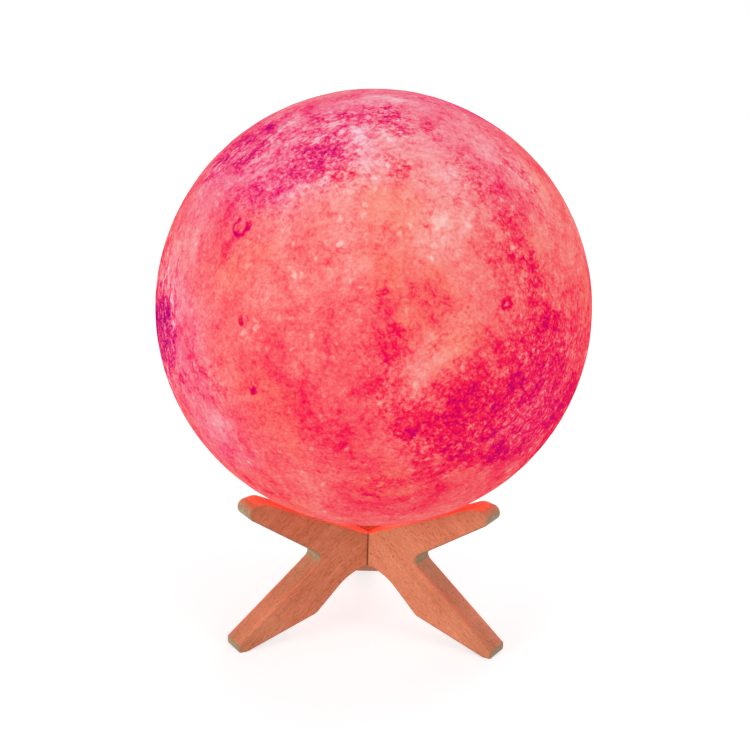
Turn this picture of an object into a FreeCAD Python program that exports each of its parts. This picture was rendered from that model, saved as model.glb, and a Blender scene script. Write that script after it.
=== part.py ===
import FreeCAD, Part
import math
import os

"""Moon lamp: a hollow lit globe that lies in a cradle of three glued wooden boards.

Frame: millimetres, +Z up, origin on the floor under the cradle's axis, front towards -Y.
The rear board points along +Y and the two front boards at 60 degrees either side of -Y.
"""

V = FreeCAD.Vector
UP = V(0, 0, 1)
AXIS_BASE = V(0, 0, 0)
TOUCH = 1e-6                # places nearer than this are one place

# ---------------------------------------------------------------- cradle: driving dimensions
BOARD_NAMES = ("rear", "left", "right")    # in turn about the axis, seen from above
REAR_DIRECTION = 90.0       # degrees from +X
BOARD_THICKNESS = 10.0
BOARD_ARRIS = 0.6           # eased edges along both faces of a board
HUB_HEIGHT = 34.6           # where the sloping tops of the arms meet on the axis
HUB_DEPTH = 10.9            # wood left at the hub, from the arm tops down to the arch
ARM_SLOPE = 24.5            # degrees above the floor
ARM_REACH = 43.5            # axis to the high corner of an arm
ARM_NOSE = 5.8              # length of the nose past the high corner
ARM_NOSE_FALL = 1.1         # drop of the nose over that length
ARM_TIP_DEPTH = 3.8         # height of the blunt end of an arm
ARM_TIP_LEAN = 0.7          # how far the foot of the blunt end stands out
NOTCH_REACH = 21.0          # axis to the inner end of the notch between arm and leg
NOTCH_HEIGHT = 30.2         # floor to the inner end of the notch
NOTCH_RADIUS = 1.6
FOOT_REACH = 53.4           # axis to the toe
TOE_HEIGHT = 3.0
FOOT_FLAT = 3.4             # flat that stands on the floor
HEEL_REACH = 23.0           # axis to the kink under the leg
HEEL_HEIGHT = 9.1
HEEL_RADIUS = 4.0
ARCH_RADIUS = 20.0
CORNER_RADIUS = 2.0         # corners of the arm's tip
TOE_RADIUS = 1.0

# ---------------------------------------------------------------- globe: driving dimensions
GLOBE_RADIUS = 75.0
GLOBE_WALL = 1.6
SEAT_GAP = 0.3              # globe to the arms that carry it
GLUE_GAP = 0.15             # bonded or pressed faces inside the globe
COLLAR_WALL = 2.2
COLLAR_FLANGE = 3.6         # flange that is bonded to the inside of the globe
COLLAR_FLANGE_HEIGHT = 2.4

# ---------------------------------------------------------------- base cap: driving dimensions
CAP_THICKNESS = 2.5
CAP_EDGE_GAP = 0.3          # cap to the edge of the globe's opening
CAP_SKIRT_HEIGHT = 7.9
CAP_SKIRT_WALL = 1.8
SKIRT_GAP = 1.3             # housing to the cap's skirt
STANDOFF_HEIGHT = 9.9       # cap plate to the underside of the main board
RIM_RING_INNER = 16.6
RIM_RING_WIDTH = 3.2
RIM_RING_THICKNESS = 0.8
RIM_RING_GAP = 0.1

# ---------------------------------------------------------------- button and switch
BUTTON_RADIUS = 4.5
BUTTON_GAP = 0.25
BUTTON_PROUD = 1.4
BUTTON_ROUND = 0.7          # rounded edge of the key
BUTTON_TRAVEL = 0.8
BUTTON_FLANGE = 1.5
BUTTON_FLANGE_HEIGHT = 1.2
BUTTON_FLANGE_GAP = 0.3
PLUNGER_RADIUS = 1.75
PLUNGER_GAP = 0.1
PLUNGER_HEAD = 1.0          # overlap of the plunger in the switch at rest
SWITCH_SIZE = 6.2
SWITCH_HEIGHT = 4.2

# ---------------------------------------------------------------- socket, charge light and receiver
SOCKET_RADIUS = 3.6
SOCKET_BORE_RADIUS = 1.85
SOCKET_BORE_DEPTH = 8.0
SOCKET_PIN_RADIUS = 0.6
SOCKET_PIN_SETBACK = 1.0
SOCKET_MOUTH_GAP = 0.2
SOCKET_PORT_RADIUS = 3.75
SOCKET_ANGLE = 150.0
INSERT_GAP = 0.1            # light pipe and window to their holes
PART_WALL_GAP = 0.5         # parts under the main board to the housing's wall
PIPE_RADIUS = 1.5
PIPE_FLANGE = 0.8
PIPE_FLANGE_HEIGHT = 0.8
PIPE_ANGLE = 270.0
PIPE_GAP = 0.3              # light pipe to the charge light
INDICATOR_LENGTH = 3.0
INDICATOR_WIDTH = 1.5
INDICATOR_HEIGHT = 1.1
WINDOW_RADIUS = 2.6
WINDOW_FLANGE = 0.8
WINDOW_FLANGE_HEIGHT = 1.0
WINDOW_ANGLE = 30.0
RECEIVER_SIZE = 5.2
RECEIVER_LENS_RADIUS = 1.9
RECEIVER_LENS_GAP = 0.3     # receiver's lens to its window

# ---------------------------------------------------------------- main circuit board
PCB_RADIUS = 15.2
PCB_THICKNESS = 1.6
PCB_BOSS_RADIUS = 2.2
PCB_NOTCH_GAP = 0.4         # board to the bosses that pass it
CHIP_WIDTH = 6.0
CHIP_LENGTH = 8.6
CHIP_HEIGHT = 1.6
CHIP_OFFSET = 1.0           # centre of the controller chip from the axis, along X and Y
COIL_RADIUS = 2.9
COIL_HEIGHT = 2.8
COIL_RING = 7.6
COIL_ANGLE = 48.0
CAPACITOR_RADIUS = 1.6
CAPACITOR_HEIGHT = 3.2
CAPACITOR_RING = 8.4
CAPACITOR_ANGLES = (118.0, 160.0)
CHARGER_SIZE = 4.2
CHARGER_HEIGHT = 1.4
CHARGER_RING = 8.6
CHARGER_ANGLE = 245.0

# ---------------------------------------------------------------- housing, battery and lights
HOUSING_WALL = 1.4
HOUSING_GAP = 0.4           # main board to the housing's wall
HOUSING_LID = 1.5
BOSS_RADIUS = 2.4
BOSS_BITE = 0.1             # how far a boss runs into the housing's wall
CHIP_SPACE = 4.0            # main board to the battery holder
HOLDER_THICKNESS = 1.5
HOLDER_CUP_HEIGHT = 10.0
HOLDER_CUP_WALL = 1.2
CELL_RADIUS = 9.1
CELL_LENGTH = 35.0
CELL_GAP = 0.3
CONTACT_RADIUS = 3.2        # raised contact on the battery
CONTACT_HEIGHT = 1.0
PAD_INSET = 1.1             # foam ring's edge from the battery's edge
PAD_HEADROOM = 2.0          # foam above the top of the contact
LED_BOARD_RADIUS = 14.8
LED_BOARD_THICKNESS = 1.6
LED_COUNT = 6
LED_SIZE = 5.0
LED_HEIGHT = 1.6
LED_RING_RADIUS = 8.6
DOME_WALL = 1.2
DOME_NECK = 5.0             # straight part under the diffuser's round top

# ---------------------------------------------------------------- screws and leads
SCREW_RADIUS = 1.0
SCREW_HOLE_GAP = 0.15
SCREW_HEAD_RADIUS = 1.9
SCREW_HEAD_HEIGHT = 1.1
SCREW_SLOT_LENGTH = 2.3
SCREW_SLOT_WIDTH = 0.5
SCREW_SLOT_DEPTH = 0.5
SCREW_SEAT_GAP = 0.05
CAP_SCREW_ANGLES = (90.0, 210.0, 330.0)
CAP_SCREW_LENGTH = 8.0
PCB_SCREW_ANGLES = (0.0, 180.0)
PCB_SCREW_LENGTH = 6.0
LED_SCREW_ANGLES = (30.0, 210.0)
LED_SCREW_RING = 12.4
LED_SCREW_LENGTH = 2.9
LEAD_RADIUS = 0.6
LEAD_HOLE_GAP = 0.4
LEAD_RING = 12.6
LEAD_BEND = 2.0
LED_LEAD_ANGLES = (249.0, 263.0, 277.0, 291.0)
CELL_LEAD_ANGLES = (23.0, 37.0)
CELL_LEAD_DROP = 3.5        # joint of a lead below the top of the battery can

# ---------------------------------------------------------------- worked-out places
SLOPE = math.radians(ARM_SLOPE)
BOARD_TURN = 360.0 / len(BOARD_NAMES)
MITRE_ANGLE = math.radians(BOARD_TURN / 2)
BOARD_OVERRUN = BOARD_THICKNESS             # blank wood past the axis, which the mitre cuts away
ARCH_CENTRE_Z = HUB_HEIGHT - HUB_DEPTH - ARCH_RADIUS

HOUSING_INNER = PCB_RADIUS + HOUSING_GAP
HOUSING_OUTER = HOUSING_INNER + HOUSING_WALL
SKIRT_INNER = HOUSING_OUTER + SKIRT_GAP
SKIRT_OUTER = SKIRT_INNER + CAP_SKIRT_WALL
COLLAR_INNER = SKIRT_OUTER + GLUE_GAP
COLLAR_OUTER = COLLAR_INNER + COLLAR_WALL
OPENING_RADIUS = COLLAR_OUTER
CAP_RADIUS = OPENING_RADIUS - CAP_EDGE_GAP

GLOBE_Z = HUB_HEIGHT + (GLOBE_RADIUS + SEAT_GAP) / math.cos(SLOPE)
GLOBE_INNER_RADIUS = GLOBE_RADIUS - GLOBE_WALL
CAP_Z = GLOBE_Z - math.sqrt(GLOBE_RADIUS ** 2 - OPENING_RADIUS ** 2)
PLATE_TOP = CAP_Z + CAP_THICKNESS
SKIRT_TOP = PLATE_TOP + CAP_SKIRT_HEIGHT
PCB_Z = PLATE_TOP + STANDOFF_HEIGHT
PCB_TOP = PCB_Z + PCB_THICKNESS
HOLDER_Z = PCB_TOP + CHIP_SPACE
HOLDER_TOP = HOLDER_Z + HOLDER_THICKNESS
CELL_TOP = HOLDER_TOP + CELL_LENGTH
PAD_THICKNESS = CONTACT_HEIGHT + PAD_HEADROOM
LID_Z = CELL_TOP + PAD_THICKNESS
HOUSING_TOP = LID_Z + HOUSING_LID
LED_BOARD_TOP = HOUSING_TOP + LED_BOARD_THICKNESS

BOSS_RING = HOUSING_INNER - BOSS_RADIUS + BOSS_BITE
PCB_BOSS_RING = PCB_RADIUS - PCB_BOSS_RADIUS - PART_WALL_GAP
SOCKET_RING = HOUSING_INNER - SOCKET_RADIUS - PART_WALL_GAP
PIPE_RING = PCB_RADIUS - PIPE_RADIUS - PIPE_FLANGE - PART_WALL_GAP
WINDOW_RING = PCB_RADIUS - WINDOW_RADIUS - WINDOW_FLANGE - PART_WALL_GAP
RECEIVER_Z = PLATE_TOP + WINDOW_FLANGE_HEIGHT + RECEIVER_LENS_GAP + RECEIVER_LENS_RADIUS
CUP_INNER = CELL_RADIUS + CELL_GAP
CUP_OUTER = CUP_INNER + HOLDER_CUP_WALL
SCREW_HOLE_RADIUS = SCREW_RADIUS + SCREW_HOLE_GAP
LEAD_HOLE_RADIUS = LEAD_RADIUS + LEAD_HOLE_GAP


# ---------------------------------------------------------------- shape helpers
def place(radius, angle, z):
    """Point on a circle about the axis, at an angle in degrees from +X."""
    a = math.radians(angle)
    return V(radius * math.cos(a), radius * math.sin(a), z)


def places(radius, angles, z):
    return [place(radius, angle, z) for angle in angles]


def disc(radius, height, base):
    return Part.makeCylinder(radius, height, base, UP)


def ring(outer, inner, height, z):
    """Flat ring about the lamp's axis."""
    base = V(0, 0, z)
    return disc(outer, height, base).cut(disc(inner, height, base))


def block(width, depth, height, centre, angle):
    """Block that stands on centre, turned about its own upright axis."""
    solid = Part.makeBox(width, depth, height, V(-width / 2, -depth / 2, 0))
    solid.rotate(AXIS_BASE, UP, angle)
    solid.translate(centre)
    return solid


def line(a, b):
    return Part.makeLine(a, b)


def arc(a, middle, b):
    return Part.Arc(a, middle, b).toShape()


def revolved(edges):
    """Solid of revolution about the axis from a closed run of edges in the XZ plane."""
    wire = Part.Wire(Part.__sortEdges__(edges))
    return Part.Face(wire).revolve(AXIS_BASE, UP, 360)


def on_globe(radius, at_radius):
    """Point in the XZ plane on the lower half of a sphere about the globe's centre."""
    return V(at_radius, 0, GLOBE_Z - math.sqrt(radius ** 2 - at_radius ** 2))


def drill(solid, radius, bases, depth):
    """Cut upright round holes that start at the bases and run up by depth."""
    for base in bases:
        solid = solid.cut(disc(radius, depth, base))
    return solid


def rounded_corner(before, corner, after, radius):
    """Start, middle and end of the arc of this radius that rounds a corner of a path."""
    back = before - corner
    ahead = after - corner
    back.normalize()
    ahead.normalize()
    half = back.getAngle(ahead) / 2
    reach = radius / math.tan(half)
    inward = back + ahead
    inward.normalize()
    middle = corner + inward * (radius / math.sin(half) - radius)
    return corner + back * reach, middle, corner + ahead * reach


def rounded_outline(corners):
    """Closed wire through (u, z, radius) corners in the XZ plane, each rounded by its radius."""
    points = [V(u, 0, z) for u, z, radius in corners]
    rounds = []
    for i, (u, z, radius) in enumerate(corners):
        if radius == 0:
            rounds.append((points[i],))
        else:
            rounds.append(rounded_corner(points[i - 1], points[i], points[(i + 1) % len(points)], radius))
    edges = []
    for here, following in zip(rounds, rounds[1:] + rounds[:1]):
        if len(here) > 1:
            edges.append(arc(*here))
        edges.append(line(here[-1], following[0]))
    return Part.Wire(edges)


def wire_lead(path):
    """Round insulated wire along a path that starts straight up."""
    start = path.Vertexes[0].Point
    section = Part.Wire([Part.makeCircle(LEAD_RADIUS, start, UP)])
    return path.makePipeShell([section], True, True)


def pan_screw(seat, direction, length):
    """Pan-head screw: seat is under the head, direction points from the head to the tip."""
    shank = Part.makeCylinder(SCREW_RADIUS, length, seat, direction)
    head_base = seat - direction * SCREW_HEAD_HEIGHT
    head = Part.makeCylinder(SCREW_HEAD_RADIUS, SCREW_HEAD_HEIGHT, head_base, direction)
    screw = shank.fuse(head)
    for turn in (0, 90):
        slot = Part.makeBox(SCREW_SLOT_LENGTH, SCREW_SLOT_WIDTH, SCREW_SLOT_DEPTH,
                            V(-SCREW_SLOT_LENGTH / 2, -SCREW_SLOT_WIDTH / 2, 0))
        slot.rotate(AXIS_BASE, UP, turn)
        if direction.z < 0:
            slot.translate(V(0, 0, -SCREW_SLOT_DEPTH))
        slot.translate(head_base)
        screw = screw.cut(slot)
    return screw.removeSplitter()


# ---------------------------------------------------------------- cradle
def arch_shoulder():
    """Corner beside the arch, where its tangent from the heel meets the level of its top."""
    rise = HEEL_HEIGHT - ARCH_CENTRE_Z
    turn = math.acos(ARCH_RADIUS / math.hypot(HEEL_REACH, rise))
    touch = math.atan2(rise, HEEL_REACH) + turn
    reach = ARCH_RADIUS * (1 - math.sin(touch)) / math.cos(touch)
    return reach, ARCH_CENTRE_Z + ARCH_RADIUS


def board_corners():
    """Outline of one board in its own plane: u runs outwards from the axis, z up."""
    rise = math.tan(SLOPE)
    nose_u = ARM_REACH + ARM_NOSE
    nose_z = HUB_HEIGHT + ARM_REACH * rise - ARM_NOSE_FALL
    shoulder_u, arch_top = arch_shoulder()
    return [
        (-BOARD_OVERRUN, HUB_HEIGHT - BOARD_OVERRUN * rise, 0),
        (ARM_REACH, HUB_HEIGHT + ARM_REACH * rise, CORNER_RADIUS),
        (nose_u, nose_z, CORNER_RADIUS),
        (nose_u + ARM_TIP_LEAN, nose_z - ARM_TIP_DEPTH, CORNER_RADIUS),
        (NOTCH_REACH, NOTCH_HEIGHT, NOTCH_RADIUS),
        (FOOT_REACH, TOE_HEIGHT, TOE_RADIUS),
        (FOOT_REACH, 0, TOE_RADIUS),
        (FOOT_REACH - FOOT_FLAT, 0, CORNER_RADIUS),
        (HEEL_REACH, HEEL_HEIGHT, HEEL_RADIUS),
        (shoulder_u, arch_top, ARCH_RADIUS),
        (-BOARD_OVERRUN, arch_top, 0),
    ]


def on_face_rim(edge):
    """True for the edges around either broad face, but not for those of the blank's inner end."""
    ends = edge.Vertexes
    on_faces = all(abs(abs(v.Y) - BOARD_THICKNESS / 2) < TOUCH for v in ends)
    along_face = abs(ends[0].Y - ends[-1].Y) < TOUCH
    on_inner_end = all(abs(v.X + BOARD_OVERRUN) < TOUCH for v in ends)
    return on_faces and along_face and not on_inner_end


def stand_board(direction):
    """One board of the cradle: an arm over a leg, mitred at the axis against its two neighbours."""
    half = BOARD_THICKNESS / 2
    profile = Part.Face(rounded_outline(board_corners()))
    profile.translate(V(0, half, 0))
    solid = profile.extrude(V(0, -BOARD_THICKNESS, 0))
    solid = solid.makeFillet(BOARD_ARRIS, [e for e in solid.Edges if on_face_rim(e)])
    past_inner = -2 * BOARD_OVERRUN
    past_face = 2 * half
    wedge = Part.Face(Part.makePolygon([
        V(0, 0, 0),
        V(past_inner, 0, 0),
        V(past_inner, past_face, 0),
        V(past_face / math.tan(MITRE_ANGLE), past_face, 0),
        V(0, 0, 0),
    ])).extrude(V(0, 0, HUB_HEIGHT + BOARD_THICKNESS))
    solid = solid.cut(wedge).cut(wedge.mirror(AXIS_BASE, V(0, 1, 0)))
    solid.rotate(AXIS_BASE, UP, direction)
    return solid


# ---------------------------------------------------------------- globe
def moon_shell():
    """Thin hollow globe with a round opening at the bottom, cut straight up."""
    centre = V(0, 0, GLOBE_Z)
    outer = Part.makeSphere(GLOBE_RADIUS, centre)
    inner = Part.makeSphere(GLOBE_INNER_RADIUS, centre)
    opening = disc(OPENING_RADIUS, GLOBE_RADIUS, V(0, 0, GLOBE_Z - GLOBE_RADIUS - GLOBE_WALL))
    return outer.cut(inner).cut(opening)


def shell_collar():
    """Ring bonded inside the opening: its flange follows the globe's inner face."""
    seat_radius = GLOBE_INNER_RADIUS - GLUE_GAP
    base = PLATE_TOP + GLUE_GAP
    flange_outer = COLLAR_OUTER + COLLAR_FLANGE
    inner_seat = on_globe(seat_radius, COLLAR_OUTER)
    middle = on_globe(seat_radius, COLLAR_OUTER + COLLAR_FLANGE / 2)
    outer_seat = on_globe(seat_radius, flange_outer)
    flange_top = max(base, outer_seat.z) + COLLAR_FLANGE_HEIGHT
    points = [
        outer_seat,
        V(flange_outer, 0, flange_top),
        V(COLLAR_OUTER, 0, flange_top),
        V(COLLAR_OUTER, 0, SKIRT_TOP),
        V(COLLAR_INNER, 0, SKIRT_TOP),
        V(COLLAR_INNER, 0, base),
        V(COLLAR_OUTER, 0, base),
        inner_seat,
    ]
    edges = [arc(inner_seat, middle, outer_seat)]
    edges += [line(a, b) for a, b in zip(points, points[1:])]
    return revolved(edges)


# ---------------------------------------------------------------- cap and its inserts
def cap_boss_places(z):
    return places(BOSS_RING, CAP_SCREW_ANGLES, z)


def pcb_boss_places(z):
    return places(PCB_BOSS_RING, PCB_SCREW_ANGLES, z)


def base_cap():
    """Plate that closes the globe, with a skirt, standoffs for the main board and its holes."""
    base = V(0, 0, CAP_Z)
    solid = disc(CAP_RADIUS, CAP_THICKNESS, base)
    solid = solid.fuse(ring(SKIRT_OUTER, SKIRT_INNER, CAP_SKIRT_HEIGHT, PLATE_TOP))
    for centre in pcb_boss_places(PLATE_TOP):
        solid = solid.fuse(disc(PCB_BOSS_RADIUS, STANDOFF_HEIGHT, centre))
    solid = solid.cut(ring(RIM_RING_INNER + RIM_RING_WIDTH, RIM_RING_INNER,
                           RIM_RING_THICKNESS + RIM_RING_GAP, CAP_Z))
    port = place(SOCKET_RING, SOCKET_ANGLE, CAP_Z)
    pipe = place(PIPE_RING, PIPE_ANGLE, CAP_Z)
    window = place(WINDOW_RING, WINDOW_ANGLE, CAP_Z)
    solid = drill(solid, BUTTON_RADIUS + BUTTON_GAP, [base], CAP_THICKNESS)
    solid = drill(solid, SOCKET_PORT_RADIUS, [port], CAP_THICKNESS)
    solid = drill(solid, PIPE_RADIUS + INSERT_GAP, [pipe], CAP_THICKNESS)
    solid = drill(solid, WINDOW_RADIUS + INSERT_GAP, [window], CAP_THICKNESS)
    solid = drill(solid, SCREW_HOLE_RADIUS, cap_boss_places(CAP_Z), CAP_THICKNESS)
    head_hole = SCREW_HEAD_RADIUS + SCREW_HOLE_GAP
    solid = drill(solid, head_hole, cap_boss_places(CAP_Z), SCREW_HEAD_HEIGHT + SCREW_SEAT_GAP)
    pilot_depth = PCB_SCREW_LENGTH - PCB_THICKNESS + SCREW_HOLE_GAP
    pilots = pcb_boss_places(PCB_Z - pilot_depth)
    return drill(solid, SCREW_RADIUS, pilots, pilot_depth).removeSplitter()


def rim_ring():
    """Plated trim ring let into the cap's underside."""
    return ring(RIM_RING_INNER + RIM_RING_WIDTH - RIM_RING_GAP, RIM_RING_INNER + RIM_RING_GAP,
                RIM_RING_THICKNESS, CAP_Z)


def power_button():
    """Push button: a round key held in the cap by a flange above the plate."""
    flange_z = PLATE_TOP + BUTTON_FLANGE_GAP
    key_z = CAP_Z - BUTTON_PROUD
    key = disc(BUTTON_RADIUS, flange_z + BUTTON_FLANGE_HEIGHT - key_z, V(0, 0, key_z))
    key = key.makeFillet(BUTTON_ROUND, [e for e in key.Edges if abs(e.BoundBox.ZMax - key_z) < TOUCH])
    flange = disc(BUTTON_RADIUS + BUTTON_FLANGE, BUTTON_FLANGE_HEIGHT, V(0, 0, flange_z))
    return key.fuse(flange).removeSplitter()


def switch_plunger():
    """Stem of the push switch, which stands on the button and reaches into the switch."""
    base = PLATE_TOP + BUTTON_FLANGE_GAP + BUTTON_FLANGE_HEIGHT
    top = PCB_Z - SWITCH_HEIGHT + PLUNGER_HEAD
    return disc(PLUNGER_RADIUS, top - base, V(0, 0, base))


def switch_body():
    """Square push switch under the main board, open below for its plunger."""
    base = V(0, 0, PCB_Z - SWITCH_HEIGHT)
    solid = block(SWITCH_SIZE, SWITCH_SIZE, SWITCH_HEIGHT, base, 0)
    depth = PLUNGER_HEAD + BUTTON_TRAVEL + BUTTON_FLANGE_GAP
    return drill(solid, PLUNGER_RADIUS + PLUNGER_GAP, [base], depth)


def charging_socket():
    """Round low-voltage power socket whose mouth faces down behind the port in the cap."""
    mouth = PLATE_TOP + SOCKET_MOUTH_GAP
    base = place(SOCKET_RING, SOCKET_ANGLE, mouth)
    solid = disc(SOCKET_RADIUS, PCB_Z - mouth, base)
    return drill(solid, SOCKET_BORE_RADIUS, [base], SOCKET_BORE_DEPTH)


def socket_pin():
    """Contact pin on the socket's axis, set back from its mouth."""
    mouth = PLATE_TOP + SOCKET_MOUTH_GAP
    tip = place(SOCKET_RING, SOCKET_ANGLE, mouth + SOCKET_PIN_SETBACK)
    return disc(SOCKET_PIN_RADIUS, SOCKET_BORE_DEPTH - SOCKET_PIN_SETBACK, tip)


def flanged_insert(radius, flange, flange_height, at_radius, angle):
    """Round plug that fills a hole of the cap and hangs in it by a flange above the plate."""
    base = place(at_radius, angle, CAP_Z)
    seat = place(at_radius, angle, PLATE_TOP)
    return disc(radius, CAP_THICKNESS, base).fuse(disc(radius + flange, flange_height, seat))


def indicator_light_pipe():
    """Clear rod that carries the charge light from the board to the cap's underside."""
    insert = flanged_insert(PIPE_RADIUS, PIPE_FLANGE, PIPE_FLANGE_HEIGHT, PIPE_RING, PIPE_ANGLE)
    base = PLATE_TOP + PIPE_FLANGE_HEIGHT
    top = PCB_Z - INDICATOR_HEIGHT - PIPE_GAP
    rod = disc(PIPE_RADIUS, top - base, place(PIPE_RING, PIPE_ANGLE, base))
    return insert.fuse(rod).removeSplitter()


def indicator_led():
    """Small charge light under the main board, over its light pipe."""
    base = place(PIPE_RING, PIPE_ANGLE, PCB_Z - INDICATOR_HEIGHT)
    return block(INDICATOR_LENGTH, INDICATOR_WIDTH, INDICATOR_HEIGHT, base, PIPE_ANGLE)


def receiver_window():
    """Dark window in the cap in front of the remote-control receiver."""
    insert = flanged_insert(WINDOW_RADIUS, WINDOW_FLANGE, WINDOW_FLANGE_HEIGHT, WINDOW_RING, WINDOW_ANGLE)
    return insert.removeSplitter()


def remote_receiver():
    """Infrared receiver that hangs from the main board with its lens over the window."""
    base = place(WINDOW_RING, WINDOW_ANGLE, RECEIVER_Z)
    case = block(RECEIVER_SIZE, RECEIVER_SIZE, PCB_Z - RECEIVER_Z, base, WINDOW_ANGLE)
    lens = Part.makeSphere(RECEIVER_LENS_RADIUS, base)
    return case.fuse(lens.cut(case)).removeSplitter()


# ---------------------------------------------------------------- circuit board and its parts
def main_board():
    """Round board with notches for the housing's bosses and holes for its own screws."""
    solid = disc(PCB_RADIUS, PCB_THICKNESS, V(0, 0, PCB_Z))
    solid = drill(solid, BOSS_RADIUS + PCB_NOTCH_GAP, cap_boss_places(PCB_Z), PCB_THICKNESS)
    return drill(solid, SCREW_HOLE_RADIUS, pcb_boss_places(PCB_Z), PCB_THICKNESS)


def controller_chip():
    centre = V(CHIP_OFFSET, -CHIP_OFFSET, PCB_TOP)
    return block(CHIP_LENGTH, CHIP_WIDTH, CHIP_HEIGHT, centre, 0)


def board_parts():
    """Coil, capacitors and charger chip on the upper side of the main board."""
    coil = disc(COIL_RADIUS, COIL_HEIGHT, place(COIL_RING, COIL_ANGLE, PCB_TOP))
    charger_place = place(CHARGER_RING, CHARGER_ANGLE, PCB_TOP)
    charger = block(CHARGER_SIZE, CHARGER_SIZE, CHARGER_HEIGHT, charger_place, 0)
    spots = places(CAPACITOR_RING, CAPACITOR_ANGLES, PCB_TOP)
    return Part.makeCompound([coil, charger] + [disc(CAPACITOR_RADIUS, CAPACITOR_HEIGHT, p) for p in spots])


# ---------------------------------------------------------------- housing and battery
def led_lead_places(z):
    return places(LEAD_RING, LED_LEAD_ANGLES, z)


def cell_lead_places(z):
    return places(LEAD_RING, CELL_LEAD_ANGLES, z)


def led_screw_places(z):
    return places(LED_SCREW_RING, LED_SCREW_ANGLES, z)


def core_housing():
    """Tube over the electronics, with three screw bosses inside and a lid that carries the lights."""
    base = V(0, 0, PLATE_TOP)
    tube = disc(HOUSING_OUTER, HOUSING_TOP - PLATE_TOP, base)
    tube = tube.cut(disc(HOUSING_INNER, LID_Z - PLATE_TOP, base))
    for centre in cap_boss_places(PLATE_TOP):
        tube = tube.fuse(disc(BOSS_RADIUS, HOLDER_Z - PLATE_TOP, centre))
    pilot = CAP_SCREW_LENGTH - CAP_THICKNESS + SCREW_HEAD_HEIGHT + SCREW_HOLE_GAP
    tube = drill(tube, SCREW_RADIUS, cap_boss_places(PLATE_TOP), pilot)
    tube = drill(tube, LEAD_HOLE_RADIUS, led_lead_places(LID_Z), HOUSING_LID)
    return drill(tube, SCREW_RADIUS, led_screw_places(LID_Z), HOUSING_LID).removeSplitter()


def battery_holder():
    """Disc with a shallow cup, which rests on the housing's bosses and holds the battery upright."""
    solid = disc(PCB_RADIUS, HOLDER_THICKNESS, V(0, 0, HOLDER_Z))
    solid = solid.fuse(ring(CUP_OUTER, CUP_INNER, HOLDER_CUP_HEIGHT, HOLDER_TOP))
    holes = led_lead_places(HOLDER_Z) + cell_lead_places(HOLDER_Z)
    return drill(solid, LEAD_HOLE_RADIUS, holes, HOLDER_THICKNESS).removeSplitter()


def battery_cell():
    """Rechargeable round battery with its raised contact on top."""
    can = disc(CELL_RADIUS, CELL_LENGTH, V(0, 0, HOLDER_TOP))
    contact = disc(CONTACT_RADIUS, CONTACT_HEIGHT, V(0, 0, CELL_TOP))
    return can.fuse(contact).removeSplitter()


def battery_pad():
    """Foam ring that the housing's lid presses onto the battery."""
    return ring(CELL_RADIUS - PAD_INSET, CONTACT_RADIUS + CELL_GAP, PAD_THICKNESS, CELL_TOP)


# ---------------------------------------------------------------- lights
def led_board():
    """Round board with the lights, screwed onto the housing's lid."""
    solid = disc(LED_BOARD_RADIUS, LED_BOARD_THICKNESS, V(0, 0, HOUSING_TOP))
    return drill(solid, SCREW_HOLE_RADIUS, led_screw_places(HOUSING_TOP), LED_BOARD_THICKNESS)


def led_chips():
    """Square light chips: one in the middle and a ring of them about it."""
    chips = [block(LED_SIZE, LED_SIZE, LED_HEIGHT, V(0, 0, LED_BOARD_TOP), 0)]
    for i in range(LED_COUNT):
        turn = 360.0 * i / LED_COUNT
        chips.append(block(LED_SIZE, LED_SIZE, LED_HEIGHT, place(LED_RING_RADIUS, turn, LED_BOARD_TOP), turn))
    return Part.makeCompound(chips)


def diffuser_dome():
    """Milky dome over the lights: a short tube closed by a half sphere, standing on the lid's rim."""
    inner = HOUSING_OUTER - DOME_WALL
    shoulder = HOUSING_TOP + DOME_NECK

    def quarter(radius):
        diagonal = radius * math.sqrt(0.5)
        return arc(V(radius, 0, shoulder), V(diagonal, 0, shoulder + diagonal), V(0, 0, shoulder + radius))

    return revolved([
        line(V(inner, 0, HOUSING_TOP), V(HOUSING_OUTER, 0, HOUSING_TOP)),
        line(V(HOUSING_OUTER, 0, HOUSING_TOP), V(HOUSING_OUTER, 0, shoulder)),
        quarter(HOUSING_OUTER),
        line(V(0, 0, shoulder + HOUSING_OUTER), V(0, 0, shoulder + inner)),
        quarter(inner),
        line(V(inner, 0, shoulder), V(inner, 0, HOUSING_TOP)),
    ])


# ---------------------------------------------------------------- leads and screws
def led_leads():
    """Leads that rise from the main board, through holder and lid, to the light board."""
    starts = led_lead_places(PCB_TOP)
    return Part.makeCompound([wire_lead(Part.Wire([line(p, V(p.x, p.y, HOUSING_TOP))])) for p in starts])


def battery_leads():
    """Leads that rise beside the battery and bend in to their joints on its can."""
    joint_z = CELL_TOP - CELL_LEAD_DROP
    wires = []
    for angle, start in zip(CELL_LEAD_ANGLES, cell_lead_places(PCB_TOP)):
        corner = V(start.x, start.y, joint_z)
        joint = place(CELL_RADIUS, angle, joint_z)
        bend_in, middle, bend_out = rounded_corner(start, corner, joint, LEAD_BEND)
        path = [line(start, bend_in), arc(bend_in, middle, bend_out), line(bend_out, joint)]
        wires.append(wire_lead(Part.Wire(path)))
    return Part.makeCompound(wires)


def cap_screws():
    """Screws from below, through the cap into the housing's bosses, heads sunk in the plate."""
    seats = cap_boss_places(CAP_Z + SCREW_HEAD_HEIGHT)
    return Part.makeCompound([pan_screw(seat, UP, CAP_SCREW_LENGTH) for seat in seats])


def board_screws():
    """Screws that hold the main board on the cap's standoffs."""
    return Part.makeCompound([pan_screw(seat, -UP, PCB_SCREW_LENGTH) for seat in pcb_boss_places(PCB_TOP)])


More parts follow.
